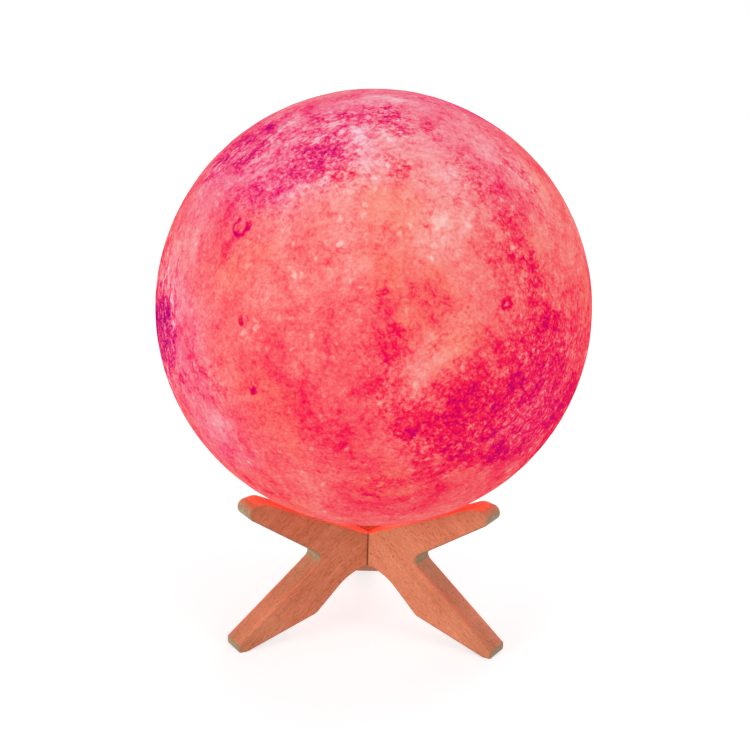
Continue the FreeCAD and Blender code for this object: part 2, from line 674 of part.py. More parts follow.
def led_board_screws():
    """Screws that hold the light board on the housing's lid."""
    seats = led_screw_places(LED_BOARD_TOP)
    return Part.makeCompound([pan_screw(seat, -UP, LED_SCREW_LENGTH) for seat in seats])


# ---------------------------------------------------------------- build and write
def all_pieces():
    """Every node's shape under its name."""
    pieces = {}
    for i, name in enumerate(BOARD_NAMES):
        pieces["stand_board_" + name] = stand_board(REAR_DIRECTION + i * BOARD_TURN)
    makers = [
        moon_shell, shell_collar,
        base_cap, rim_ring, power_button, switch_plunger, switch_body,
        charging_socket, socket_pin, indicator_light_pipe, indicator_led, receiver_window, remote_receiver,
        main_board, controller_chip, board_parts, board_screws, cap_screws,
        core_housing, battery_holder, battery_cell, battery_pad, battery_leads, led_leads,
        led_board, led_chips, led_board_screws, diffuser_dome,
    ]
    for maker in makers:
        pieces[maker.__name__] = maker()
    return pieces


os.makedirs("parts", exist_ok=True)
for name, shape in all_pieces().items():
    shape.exportStep("parts/" + name + ".step")
    print(name, "solids", len(shape.Solids), "valid", shape.isValid(), "volume", round(shape.Volume, 2))
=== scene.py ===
"""Moon lamp: a lit, cratered globe that lies loose in a cradle of three glued beech boards."""
import math

import bpy
import numpy as np
from mathutils import Matrix, Vector


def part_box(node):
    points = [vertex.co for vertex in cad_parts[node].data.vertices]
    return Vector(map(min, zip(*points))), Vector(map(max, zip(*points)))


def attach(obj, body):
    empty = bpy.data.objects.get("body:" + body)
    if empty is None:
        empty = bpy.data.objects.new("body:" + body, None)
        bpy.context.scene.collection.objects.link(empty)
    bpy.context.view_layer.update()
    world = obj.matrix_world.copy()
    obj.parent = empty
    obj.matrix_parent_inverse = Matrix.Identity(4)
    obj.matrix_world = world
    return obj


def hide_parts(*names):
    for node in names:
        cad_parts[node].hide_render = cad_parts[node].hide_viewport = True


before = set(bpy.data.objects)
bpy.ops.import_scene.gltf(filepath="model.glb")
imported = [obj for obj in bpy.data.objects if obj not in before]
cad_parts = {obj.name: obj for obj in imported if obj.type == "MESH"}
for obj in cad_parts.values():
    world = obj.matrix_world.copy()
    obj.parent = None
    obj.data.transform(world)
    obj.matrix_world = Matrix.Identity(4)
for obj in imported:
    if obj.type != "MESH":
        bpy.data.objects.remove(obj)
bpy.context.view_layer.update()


# ======================================================================================== cradle
# Three boards of steamed beech, 10 mm thick, each an arm over a splayed leg in one piece. They are
# sawn out, eased along every edge, mitred at 120 degrees on the axis, glued and given a thin oil.

MM = 0.001
BOARD_HALF = 5.0             # millimetres, as all sizes of the boards
ARRIS = 0.6                  # radius of the eased edges
ARRIS_STEP = 15              # degrees between the rings of an eased edge
FACE_STRIP = 0.3             # flat band beside the eased edge
HUB_HEIGHT = 34.6
ARM_SLOPE = math.radians(24.5)
ARM_REACH = 43.5             # from the axis to an arm's high corner
ARM_TOP = HUB_HEIGHT + ARM_REACH * math.tan(ARM_SLOPE)
NOSE_REACH, NOSE_FALL = 49.3, 1.1        # upper corner of an arm's blunt end, and its fall from the top
TIP_REACH, TIP_FALL = 50.0, 4.9          # lower corner of the blunt end
NOTCH = (20.3, 30.2)         # where arm and leg part
TOE_REACH, TOE_HEIGHT = 53.4, 3.0
SOLE_REACH = 50.0            # where the flat sole ends and the underside starts to rise
HEEL = (23.0, 9.1)           # where the underside meets the arch
ARCH_RADIUS = 20.0
ARCH_CENTRE = 3.7            # height of the middle of the arch's circle
ARCH_POINTS = 14
MITRE = math.radians(60)     # between a board's middle plane and the faces of its joint
JOINT_EASE = 0.22            # how far the mitre draws back for each millimetre of eased edge
BOARD_OUTLINE = (            # outwards from the axis, up, radius of the corner
    (0.0, HUB_HEIGHT, 0.0), (ARM_REACH, ARM_TOP, 5.0), (NOSE_REACH, ARM_TOP - NOSE_FALL, 2.8),
    (TIP_REACH, ARM_TOP - TIP_FALL, 2.7), (*NOTCH, 2.8), (TOE_REACH, TOE_HEIGHT, 1.0),
    (TOE_REACH, 0.0, 1.0), (SOLE_REACH, 0.0, 2.0), (*HEEL, 4.0),
)
BOARD_DIRECTIONS = {"rear": 90.0, "left": 210.0, "right": 330.0}
GRAIN_FALL = 40.0            # degrees by which the grain runs down towards the toe
GLUE_AND_SHADE_WIDTH = 0.45 * MM        # width on each side of a joint of the dark line: a glue line, with painted shade for the corner


def rounded_path(corners, step=12.0):
    """Points and outward normals along a clockwise run of (u, z, radius) corners. A corner gives the
    points of the circle of its radius that touches both of its sides, one for each step of degrees.
    A radius of 0 leaves it sharp: two points in one place, with the two sides' normals."""
    corners = np.array(corners, float)
    along = np.diff(corners[:, :2], axis=0)
    along /= np.linalg.norm(along, axis=1, keepdims=True)
    normals = np.stack([-along[:, 1], along[:, 0]], axis=1)
    points, facing = [corners[:1, :2]], [normals[:1]]
    for corner, before, after in zip(corners[1:-1], normals, normals[1:]):
        turned = math.atan2(before[0] * after[1] - before[1] * after[0], before @ after)
        side = -math.copysign(1.0, turned)
        middle = (before + after) / np.linalg.norm(before + after)
        centre = corner[:2] - side * corner[2] * middle / math.cos(turned / 2)
        count = 2 + int(abs(math.degrees(turned)) / step) * (corner[2] > 0)
        angle = math.atan2(before[1], before[0]) + turned * np.linspace(0, 1, count)
        normal = np.stack([np.cos(angle), np.sin(angle)], axis=1)
        points.append(centre + side * corner[2] * normal)
        facing.append(normal)
    points.append(corners[-1:, :2])
    facing.append(normals[-1:])
    return np.concatenate(points), np.concatenate(facing)


def ring_faces(rows, columns, ends):
    """Faces between stacked rings of points. Ends is "points" where the first and last rings are one
    point each, "faces" where one flat face closes each, and "joined" where the last meets the first."""
    number = np.arange(rows * columns).reshape(rows, columns)
    if ends == "points":
        number = np.clip(number - (columns - 1), 0, (rows - 2) * columns + 1)
    lower, upper = number[:-1], number[1:]
    if ends == "joined":
        lower, upper = number, np.roll(number, -1, axis=0)
    quads = np.stack([lower, np.roll(lower, -1, axis=1), np.roll(upper, -1, axis=1), upper], axis=-1)
    if ends == "points":
        return (quads[1:-1].reshape(-1, 4).tolist() + quads[0][:, [0, 2, 3]].tolist()
                + quads[-1][:, :3].tolist())
    faces = quads.reshape(-1, 4).tolist()
    return faces + [number[0, ::-1].tolist(), number[-1].tolist()] if ends == "faces" else faces


def ring_points(grid, ends):
    """Points of a (rows, columns, 3) grid in the order that ring_faces numbers them."""
    if ends == "points":
        return np.concatenate([grid[0, :1], grid[1:-1].reshape(-1, 3), grid[-1, :1]])
    return grid.reshape(-1, 3)


def add_attribute(mesh, name, values):
    """Give every point of a mesh a number that its finish reads by name."""
    mesh.attributes.new(name, "FLOAT", "POINT").data.foreach_set("value", np.asarray(values, np.float32))


SHARP_EDGE = math.radians(30)            # edges that turn by more than this stay crisp


def as_piece(name, points, faces, finish, body, replaces, slot, **attributes):
    """Make an object from points in metres and faces, smooth but for its sharp edges, with a finish,
    per-point attributes and its place in the frame."""
    mesh = bpy.data.meshes.new(name)
    mesh.from_pydata(points, [], faces)
    mesh.shade_smooth()
    mesh.set_sharp_from_angle(angle=SHARP_EDGE)
    for key, values in attributes.items():
        add_attribute(mesh, key, values)
    mesh.materials.append(finish)
    piece = bpy.data.objects.new(name, mesh)
    bpy.context.scene.collection.objects.link(piece)
    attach(piece, body)
    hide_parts(*replaces)
    return piece


class Finish:
    """A procedural material built up from Blender's shader nodes."""

    def __init__(self, name, **shader):
        self.material = bpy.data.materials.new(name)
        self.material.use_nodes = True
        self.tree = self.material.node_tree
        self.shader = self.tree.nodes["Principled BSDF"]
        self.set(**shader)

    def set(self, **shader):
        """Set or link the shader's sockets. A space in a socket's name is written as _."""
        for name, value in shader.items():
            self.feed(self.shader.inputs[name.replace("_", " ")], value)
        return self.material

    def feed(self, socket, value):
        if isinstance(value, bpy.types.NodeSocket):
            self.tree.links.new(value, socket)
        elif socket.type == "RGBA" and len(value) == 3:
            socket.default_value = (*value, 1.0)
        else:
            socket.default_value = value

    def node(self, kind, inputs, output=0, **settings):
        made = self.tree.nodes.new("ShaderNode" + kind)
        for name, value in settings.items():
            setattr(made, name, value)
        for key, value in inputs.items():
            self.feed(made.inputs[key], value)
        return made.outputs[output]

    def place(self, centre=(0, 0, 0)):
        """Object coordinates about a centre in metres."""
        here = self.node("TexCoord", {}, "Object")
        return self.node("VectorMath", {0: here, 1: centre}, operation="SUBTRACT")

    def turn(self, where, degrees=(0, 0, 0), scale=(1, 1, 1)):
        """A place with its axes scaled, then turned."""
        angles = [math.radians(a) for a in degrees]
        return self.node("Mapping", {"Vector": where, "Rotation": angles, "Scale": scale})

    def attribute(self, name):
        return self.node("Attribute", {}, "Fac", attribute_name=name)

    def noise(self, where, scale, detail=2.0, roughness=0.5, distortion=0.0):
        return self.node("TexNoise", {"Vector": where, "Scale": scale, "Detail": detail,
                                      "Roughness": roughness, "Distortion": distortion})

    def cells(self, where, scale, feature="F1", randomness=1.0, output="Distance"):
        return self.node("TexVoronoi", {"Vector": where, "Scale": scale, "Randomness": randomness},
                         output, feature=feature)

    def shaken(self, where, scale, amount):
        """A place moved about by up to half an amount with noise of a scale."""
        push = self.node("TexNoise", {"Vector": where, "Scale": scale, "Detail": 2.0}, "Color")
        push = self.node("VectorMath", {0: push, 1: (0.5, 0.5, 0.5)}, operation="SUBTRACT")
        push = self.node("VectorMath", {0: push, "Scale": amount}, operation="SCALE")
        return self.node("VectorMath", {0: where, 1: push}, operation="ADD")

    def math(self, operation, a, b=0.0, c=0.0):
        return self.node("Math", {0: a, 1: b, 2: c}, operation=operation)

    def total(self, start, *terms):
        """start plus the sum of amount * (value - rest) over (value, amount, rest) terms."""
        for value, amount, rest in terms:
            start = self.math("MULTIPLY_ADD", self.math("SUBTRACT", value, rest), amount, start)
        return start

    def spread(self, value, low, high, to_low=0.0, to_high=1.0, smooth=False):
        """Carry the range from low to high onto that from to_low to to_high, held at both ends."""
        kind = "SMOOTHSTEP" if smooth else "LINEAR"
        return self.node("MapRange", {"Value": value, "From Min": low, "From Max": high,
                                      "To Min": to_low, "To Max": to_high}, interpolation_type=kind)

    def ramp(self, value, *stops):
        """Colour from a value through (position, colour) stops in rising order."""
        colour = self.node("ValToRGB", {"Fac": value})
        line = colour.node.color_ramp.elements
        line[1].position = stops[-1][0]
        line[0].position = stops[0][0]
        for position, _ in stops[1:-1]:
            line.new(position)
        for stop, (_, shade) in zip(line, stops):
            stop.color = (*shade, 1.0)
        return colour

    def mix(self, share, a, b, blend="MIX"):
        return self.node("Mix", {0: share, 6: a, 7: b}, 2, data_type="RGBA", blend_type=blend)

    def bump(self, height, depth):
        """Normal of a surface that stands up by depth metres where height is 1."""
        return self.node("Bump", {"Height": height, "Distance": depth})


def shown(red, green, blue):
    """Linear colour of a screen colour: ((c / 255 + 0.055) / 1.055) ** 2.4 on each channel."""
    return tuple(((c / 255 + 0.055) / 1.055) ** 2.4 for c in (red, green, blue))


def board_surface():
    """One board in its own plane, in millimetres. Each ring is the outline at one depth t through the
    thickness, drawn in by the eased edge's inset; its inner end lies on the mitre, u = |t| / tan MITRE."""
    quarter = np.radians(np.arange(0, 91, ARRIS_STEP))
    depth = np.concatenate([[0], ARRIS * (1 - np.cos(quarter))])
    inset = np.concatenate([[ARRIS + FACE_STRIP], ARRIS * (1 - np.sin(quarter))])
    depth = np.concatenate([depth - BOARD_HALF, [0], BOARD_HALF - depth[::-1]])
    inset = np.concatenate([inset, [0], inset[::-1]])
    inner = np.abs(depth) / math.tan(MITRE) + JOINT_EASE * np.minimum(inset, ARRIS)
    touch_rise = HEEL[1] - ARCH_CENTRE
    touch = math.atan2(touch_rise, HEEL[0]) + math.acos(ARCH_RADIUS / math.hypot(HEEL[0], touch_rise))
    arch_foot = (ARCH_RADIUS * math.cos(touch), ARCH_CENTRE + ARCH_RADIUS * math.sin(touch), 0.0)
    path, facing = rounded_path(BOARD_OUTLINE + (arch_foot,))
    body = path[None, 1:-1] - inset[:, None, None] * facing[None, 1:-1]
    hub_top = HUB_HEIGHT + inner * math.tan(ARM_SLOPE) - inset / math.cos(ARM_SLOPE)
    radius = ARCH_RADIUS + inset
    sweep = touch + (np.arccos(inner / radius) - touch)[:, None] * np.linspace(0, 1, ARCH_POINTS)
    radius = radius[:, None]
    arch = np.stack([radius * np.cos(sweep), ARCH_CENTRE + radius * np.sin(sweep)], axis=-1)
    outline = np.concatenate([np.stack([inner, hub_top], axis=-1)[:, None], body, arch], axis=1)
    depth = np.broadcast_to(depth[:, None], outline.shape[:2])
    return np.stack([outline[..., 0], depth, outline[..., 1]], axis=-1), inset


def beech_finish(side, direction):
    """Oiled beech: broad pale bands and short dark ray flecks that run along the grain, a greyer,
    speckled end grain wherever the surface faces along it, and a dark glue line along the joint with
    painted shade added: strongest on the upright faces, in the concave corners between the boards, and
    fainter on the hub's top."""
    f = Finish("oiled_beech_" + side, Specular_IOR_Level=0.32)
    board = f.turn(f.place(), (0, 0, -direction))
    along = f.turn(board, (0, -GRAIN_FALL, 0))
    waved = f.shaken(along, 70.0, 0.0020)
    bands = f.noise(f.turn(waved, scale=(10, 60, 200)), 1.0, detail=3.0, roughness=0.6)
    fibre = f.noise(f.turn(waved, scale=(330, 2100, 2700)), 1.0, detail=3.0, roughness=0.7)
    fleck = f.noise(f.turn(waved, scale=(760, 2300, 3100)), 1.0, detail=1.0)
    fleck = f.spread(fleck, 0.58, 0.70, smooth=True)
    cloud = f.noise(board, 40.0, detail=3.0)
    tone = f.total(0.45, (bands, 0.60, 0.5), (fibre, 0.95, 0.5), (cloud, 0.6, 0.5))
    face = f.ramp(tone, (0.0, shown(171, 93, 57)), (0.35, shown(206, 127, 88)), (0.62, shown(225, 148, 109)),
                  (1.0, shown(236, 178, 143)))
    face = f.mix(f.math("MULTIPLY", fleck, 0.60), face, shown(150, 80, 50))
    speck = f.noise(f.turn(along, scale=(500, 1500, 1500)), 1.0, detail=3.0, roughness=0.7)
    ring_line = f.noise(f.turn(along, scale=(1, 60, 420)), 1.0, detail=1.0)
    end = f.ramp(f.total(0.5, (speck, 1.3, 0.5), (ring_line, 0.6, 0.5)), (0.0, shown(104, 84, 56)),
                 (0.5, shown(167, 139, 104)), (1.0, shown(216, 190, 152)))
    normal = f.turn(f.turn(f.node("TexCoord", {}, "Normal"), (0, 0, -direction)), (0, -GRAIN_FALL, 0))
    facing = f.node("SeparateXYZ", {0: normal}, 0)
    end_share = f.spread(facing, 0.20, 0.50, smooth=True)
    colour = f.mix(end_share, face, end)
    worn = f.attribute("eased")
    colour = f.mix(f.math("MULTIPLY", worn, 0.35), colour, shown(184, 118, 82))
    out, across = (f.node("SeparateXYZ", {0: board}, axis) for axis in (0, 1))
    from_joint = f.math("MULTIPLY", out, math.sin(MITRE))
    from_joint = f.math("MULTIPLY_ADD", f.math("ABSOLUTE", across), -math.cos(MITRE), from_joint)
    # The dark line at each joint is a glue line plus painted shade. It is strongest on the upright faces,
    # where the boards meet in concave corners, and fainter on the hub's top.
    glue_and_corner_shade = f.spread(from_joint, GLUE_AND_SHADE_WIDTH, 0.05 * MM, 0.0, 0.8)
    corner_shade_weight = f.spread(f.node("SeparateXYZ", {0: normal}, 2), 0.2, 0.7, 1.0, 0.25)
    colour = f.mix(f.math("MULTIPLY", glue_and_corner_shade, corner_shade_weight), colour, shown(88, 48, 28))
    height = f.total(0.5, (fibre, 0.8, 0.5), (fleck, -0.5, 0.0))
    return f.set(Base_Color=colour, Roughness=f.total(0.52, (fleck, 0.12, 0.0), (worn, -0.10, 0.0)),
                 Normal=f.bump(height, 0.04 * MM))


board_grid, board_inset = board_surface()
board_faces = ring_faces(*board_grid.shape[:2], "faces")
eased = np.repeat((board_inset > 0) & (board_inset < ARRIS + FACE_STRIP), board_grid.shape[1])
boards = []
for side, direction in BOARD_DIRECTIONS.items():
    turned = Matrix.Rotation(math.radians(direction), 3, "Z")
    points = board_grid.reshape(-1, 3) @ np.array(turned).T * MM
    boards.append(as_piece("beech_board_" + side, points, board_faces, beech_finish(side, direction),
                           "stand", ["stand_board_" + side], "beech_wood", eased=eased))


# ======================================================================================== cap
# A white moulded cap closes the globe's opening and carries all the electrics. A plated trim ring is
# pressed into its groove. The key, the charging socket, the light pipe and the receiver's window
# stand in holes in it.

def span(node):
    """Low and high corner of a plain model's box, in millimetres."""
    low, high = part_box(node)
    return np.array(low) / MM, np.array(high) / MM


def dress(finish, *nodes):
    """Give pieces that stay as the plain model has them a finish."""
    for node in nodes:
        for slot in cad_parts[node].material_slots:
            slot.material = finish


def revolved(corners, columns=64):
    """Grid x = r cos a, y = r sin a swept out by a run of (r, z, radius) corners in millimetres. The run
    goes along the underside, up the outside and back over the top."""
    path, _ = rounded_path(corners, step=15.0)
    angle = np.linspace(0, 2 * np.pi, columns, endpoint=False)
    return np.stack([np.outer(path[:, 0], np.cos(angle)), np.outer(path[:, 0], np.sin(angle)),
                     np.outer(path[:, 1], np.ones(columns))], axis=-1)


def turned_piece(name, corners, finish, body, node, slot, columns=64):
    """A turned piece about the middle of a plain model's box. Its run starts and ends on the axis, or
    else it starts and ends in one point and makes a ring."""
    low, high = span(node)
    grid = revolved(corners, columns)
    ends = "points" if corners[0][0] == 0 else "joined"
    if ends == "joined":
        grid = grid[:-1]
    points = ring_points(grid, ends) + (*(low + high)[:2] / 2, 0)
    return as_piece(name, points * MM, ring_faces(*grid.shape[:2], ends), finish, body, [node], slot)


def moulded_finish(name, colour, roughness=0.42, coarse=0.012, **shader):
    """Injection-moulded plastic with a spark-eroded skin and faint flow clouds."""
    f = Finish(name, **{"Specular_IOR_Level": 0.45, **shader})
    here = f.place()
    skin = f.noise(here, 2600.0, detail=2.0, roughness=0.6)
    cloud = f.noise(here, 90.0, detail=2.0)
    tint = f.mix(f.spread(cloud, 0.35, 0.65), tuple(0.90 * c for c in colour), colour)
    return f.set(Base_Color=tint, Roughness=f.total(roughness, (skin, 0.25, 0.5)),
                 Normal=f.bump(skin, coarse * MM))


def metal_finish(name, colour, roughness=0.26):
    """Turned or plated metal with fine tool marks and a faint stain."""
    f = Finish(name, Metallic=1.0)
    here = f.place()
    marks = f.noise(f.turn(here, scale=(500, 500, 5200)), 1.0, detail=2.0)
    stain = f.noise(here, 420.0, detail=3.0)
    return f.set(Base_Color=f.mix(f.spread(stain, 0.3, 0.7), tuple(0.86 * c for c in colour), colour),
                 Roughness=f.total(roughness, (marks, 0.3, 0.5), (stain, 0.15, 0.5)),
                 Normal=f.bump(marks, 0.006 * MM))


white_moulding = moulded_finish("white_moulded_plastic", shown(236, 234, 228))
black_moulding = moulded_finish("black_moulded_plastic", shown(34, 34, 37), 0.5)
dress(white_moulding, "base_cap", "shell_collar")

(_, _, ring_under), (ring_out, _, ring_top) = span("rim_ring")
RING_WIDTH = 3.0
RING_BEVEL, RING_BEVEL_HIGH = 0.7, 0.3
ring_in = ring_out - RING_WIDTH
ring_middle = ring_in + RING_WIDTH / 2
ring_run = (
    (ring_middle, ring_top, 0), (ring_in, ring_top, 0.1), (ring_in, ring_under + RING_BEVEL_HIGH, 0.1),
    (ring_in + RING_BEVEL, ring_under, 0.6), (ring_out - RING_BEVEL, ring_under, 0.6),
    (ring_out, ring_under + RING_BEVEL_HIGH, 0.1), (ring_out, ring_top, 0.1), (ring_middle, ring_top, 0))
turned_piece("trim_ring", ring_run, metal_finish("plated_trim", (0.80, 0.78, 0.74), 0.16), "lamp",
             "rim_ring", "plated_ring", 120)

(_, _, key_under), (key_flange, _, key_top) = span("power_button")
KEY_R = 4.5
KEY_DISH_R, KEY_DISH_DEEP = 3.3, 0.40    # the hollow for the fingertip
KEY_FLANGE_THICK = 1.2
key_shoulder = key_top - KEY_FLANGE_THICK
key_run = (
    (0, key_under + KEY_DISH_DEEP, 0), (2.2, key_under + 0.30, 3.0), (KEY_DISH_R, key_under, 0.5),
    (KEY_R, key_under, 0.7), (KEY_R, key_shoulder, 0.08), (key_flange, key_shoulder, 0.15),
    (key_flange, key_top, 0.15), (0, key_top, 0))
turned_piece("power_key", key_run, moulded_finish("grey_key_plastic", shown(192, 193, 196), 0.5, 0.02),
             "button", "power_button", "grey_plastic")
dress(black_moulding, "switch_plunger")

(_, _, socket_under), (_, _, socket_top) = span("charging_socket")
SOCKET_R, BORE_R, BORE_DEEP = 3.6, 1.85, 8.0
LEAD_IN = 0.35               # chamfer at the bore's mouth
bore_end = socket_under + BORE_DEEP
jack_run = (
    (0, bore_end, 0), (BORE_R, bore_end, 0.1), (BORE_R, socket_under + LEAD_IN, 0.1),
    (BORE_R + LEAD_IN, socket_under, 0.1), (SOCKET_R, socket_under, 0.2), (SOCKET_R, socket_top, 0.2),
    (0, socket_top, 0))
turned_piece("charging_jack", jack_run, black_moulding, "lamp", "charging_socket", "black_plastic")
(_, _, pin_under), (_, _, pin_top) = span("socket_pin")
PIN_R = 0.6
GROOVE_R = PIN_R - 0.08      # floor of the groove that the plug's spring snaps into
pin_run = (
    (0, pin_under, 0), (PIN_R, pin_under, 0.5), (PIN_R, pin_under + 1.6, 0.05),
    (GROOVE_R, pin_under + 1.75, 0.05), (GROOVE_R, pin_under + 2.1, 0.05), (PIN_R, pin_under + 2.25, 0.05),
    (PIN_R, pin_top, 0.04), (0, pin_top, 0))
turned_piece("jack_pin", pin_run, metal_finish("nickel_contact", (0.72, 0.69, 0.62)), "lamp", "socket_pin",
             "contact_metal", 24)


def flanged(shaft, rim, under, shoulder, flange, top, round_edge):
    """Run of an insert: a shaft with a domed lower end, a flange that rests on the cap, and more shaft."""
    return ((0, under, 0), (shaft * 0.6, under + 0.04, 1.5), (shaft, under + 0.12, round_edge),
            (shaft, shoulder, 0.06), (rim, shoulder, 0.12), (rim, shoulder + flange, 0.12),
            (shaft, shoulder + flange, 0.06), (shaft, top, 0.15), (0, top, 0))


CAP_INSIDE = 48.29           # height of the cap's inner face
PIPE_R, PIPE_FLANGE_R = 1.5, 2.3
WINDOW_R, WINDOW_FLANGE_R = 2.6, 3.4
(_, _, pipe_under), (_, _, pipe_top) = span("indicator_light_pipe")
clear_moulding = moulded_finish("clear_light_pipe", shown(236, 240, 242), 0.16, 0.002,
                                Transmission_Weight=0.85, IOR=1.49)
pipe_run = flanged(PIPE_R, PIPE_FLANGE_R, pipe_under, CAP_INSIDE, 0.8, pipe_top, 0.25)
turned_piece("charge_light_pipe", pipe_run, clear_moulding, "lamp", "indicator_light_pipe",
             "clear_plastic", 40)
(_, _, window_under), (_, _, window_top) = span("receiver_window")
dark_moulding = moulded_finish("dark_window_plastic", shown(30, 12, 18), 0.10, 0.001, Coat_Weight=0.6,
                               Coat_Roughness=0.05)
window_run = flanged(WINDOW_R, WINDOW_FLANGE_R, window_under, CAP_INSIDE, 0.7, window_top, 0.35)
turned_piece("remote_window", window_run, dark_moulding, "lamp", "receiver_window", "dark_window", 48)


# ======================================================================================== electronics
# The main board is green glass laminate. A controller, a coil, two capacitors and a charger chip are
# soldered on top of it, and the push switch, the charge light and the receiver hang under it.

def laminate_finish(name, mask, track, bare, scale):
    """A circuit board: a glossy mask over copper tracks, and tinned round pads where they meet."""
    f = Finish(name, Specular_IOR_Level=0.5)
    here = f.place()
    tracks = f.spread(f.cells(here, scale, "DISTANCE_TO_EDGE", 0.7), 0.09, 0.05, smooth=True)
    pads = f.spread(f.cells(here, scale, "F1", 0.7), 0.16, 0.12, smooth=True)
    weave = f.noise(f.turn(here, scale=(1, 1, 0.1)), 3000.0, detail=1.0)
    mask = f.mix(f.spread(weave, 0.3, 0.7), tuple(0.85 * c for c in mask), mask)
    colour = f.mix(pads, f.mix(tracks, mask, track), bare)
    return f.set(Base_Color=colour, Metallic=f.math("MULTIPLY", pads, 0.9),
                 Roughness=f.total(0.34, (pads, -0.08, 0.0), (weave, 0.2, 0.5)),
                 Normal=f.bump(f.total(0.0, (tracks, 0.7, 0.0), (pads, 0.6, 0.0)), 0.03 * MM))


def squared(levels, columns=40):
    """Grid of rings |x|^n + |y|^n = h^n for (h, z, n) levels: round for n = 2, square for a large n."""
    angle = np.linspace(0, 2 * np.pi, columns, endpoint=False)
    half, height, power = np.array(levels, float).T[:, :, None]
    reach = half / (np.abs(np.cos(angle)) ** power + np.abs(np.sin(angle)) ** power) ** (1 / power)
    return np.stack([reach * np.cos(angle), reach * np.sin(angle), height + 0 * angle], axis=-1)


def around(ring, *angles):
    """Places (x, y, degrees) on a ring about the axis."""
    return [(ring * math.cos(math.radians(a)), ring * math.sin(math.radians(a)), a) for a in angles]


def gathered(*parts):
    """One set of points and faces from several, and for each point the number of its part."""
    counts = [len(points) for points, _ in parts]
    starts = np.cumsum([0] + counts)
    faces = [[i + int(start) for i in face] for start, (_, part) in zip(starts, parts) for face in part]
    numbers = np.repeat(np.arange(len(parts)), counts)
    return np.concatenate([points for points, _ in parts]), faces, numbers


def laid_out(grid, ends, places):
    """Points and faces of one form, repeated at (x, y, degrees) places."""
    form, faces = ring_points(grid, ends), ring_faces(*grid.shape[:2], ends)
    turns = [np.array(Matrix.Rotation(math.radians(degrees), 3, "Z")).T for _, _, degrees in places]
    copies = ((form @ turn + (x, y, 0), faces) for turn, (x, y, _) in zip(turns, places))
    return gathered(*copies)[:2]


def sorted_finish(name, *kinds):
    """Small parts of several kinds in one piece, each kind with its (colour, metallic, roughness)."""
    f = Finish(name)
    kind = f.math("DIVIDE", f.math("ADD", f.attribute("kind"), 0.5), float(len(kinds)))
    grit = f.noise(f.place(), 2400.0, detail=2.0)
    colours = [colour for colour, _, _ in kinds]
    metals = [(metal,) * 3 for _, metal, _ in kinds]
    roughs = [(rough,) * 3 for _, _, rough in kinds]
    levels = []
    for values in (colours, metals, roughs):
        ramp = f.ramp(kind, *((number / len(kinds), value) for number, value in enumerate(values)))
        ramp.node.color_ramp.interpolation = "CONSTANT"
        levels.append(ramp)
    colour = f.mix(f.spread(grit, 0.3, 0.7, 0.0, 0.22), levels[0], (0, 0, 0))
    return f.set(Base_Color=colour, Metallic=levels[1], Roughness=levels[2], Normal=f.bump(grit, 0.008 * MM))


TINNED_PAD = (0.80, 0.78, 0.72)
dress(laminate_finish("green_circuit_board", shown(18, 84, 54), shown(34, 122, 78), TINNED_PAD, 520.0),
      "main_board")
dress(black_moulding, "switch_body", "remote_receiver")
dress(moulded_finish("charge_light_chip", shown(236, 244, 214), 0.3), "indicator_led")
screw_steel = metal_finish("screw_steel", (0.56, 0.56, 0.58), 0.32)
dress(screw_steel, "board_screws", "cap_screws")

board_top = span("main_board")[1][2]
EPOXY = (shown(26, 27, 30), 0.0, 0.55)
TIN = ((0.74, 0.74, 0.72), 1.0, 0.3)
chip_low, chip_high = span("controller_chip")
chip_middle = (chip_low + chip_high) / 2
chip_half = (chip_high - chip_low) / 2
LEG_REACH = 0.9              # how far the legs stand out of the chip's long sides
LEGS, LEG_ROW = 7, 3.6       # on each side, and half the length of their row
LEG_HALF_WIDE, LEG_HALF_THICK = 0.2, 0.08
LEG_RISE = 0.80              # height at which the legs leave the package
SEAM = 1.02                  # how much wider the package is at the seam of its two halves
package = squared([(1, 0.15, 14), (SEAM, 0.85, 14), (0.97, 1.6, 14)]) * (
    (chip_half[0] - 0.1) / SEAM, (chip_half[1] - LEG_REACH) / SEAM, 1)
leg_path = np.array([(chip_half[1] - LEG_REACH - 0.3, LEG_RISE), (chip_half[1] - 0.55, LEG_RISE),
                     (chip_half[1] - 0.42, LEG_HALF_THICK), (chip_half[1], LEG_HALF_THICK)])
leg = np.stack([np.stack([np.full(4, side * LEG_HALF_WIDE), leg_path[:, 0],
                          leg_path[:, 1] + lift * LEG_HALF_THICK], axis=-1)
                for side, lift in ((-1, 1), (-1, -1), (1, -1), (1, 1))], axis=1)
leg_places = [(x, 0, turn) for turn in (0, 180) for x in np.linspace(-LEG_ROW, LEG_ROW, LEGS)]
points, faces, kind = gathered(laid_out(package, "faces", [(0, 0, 0)]), laid_out(leg, "faces", leg_places))
as_piece("controller_package", (points + (*chip_middle[:2], board_top)) * MM, faces,
         sorted_finish("epoxy_and_tin", EPOXY, TIN), "lamp", ["controller_chip"], "black_plastic", kind=kind)

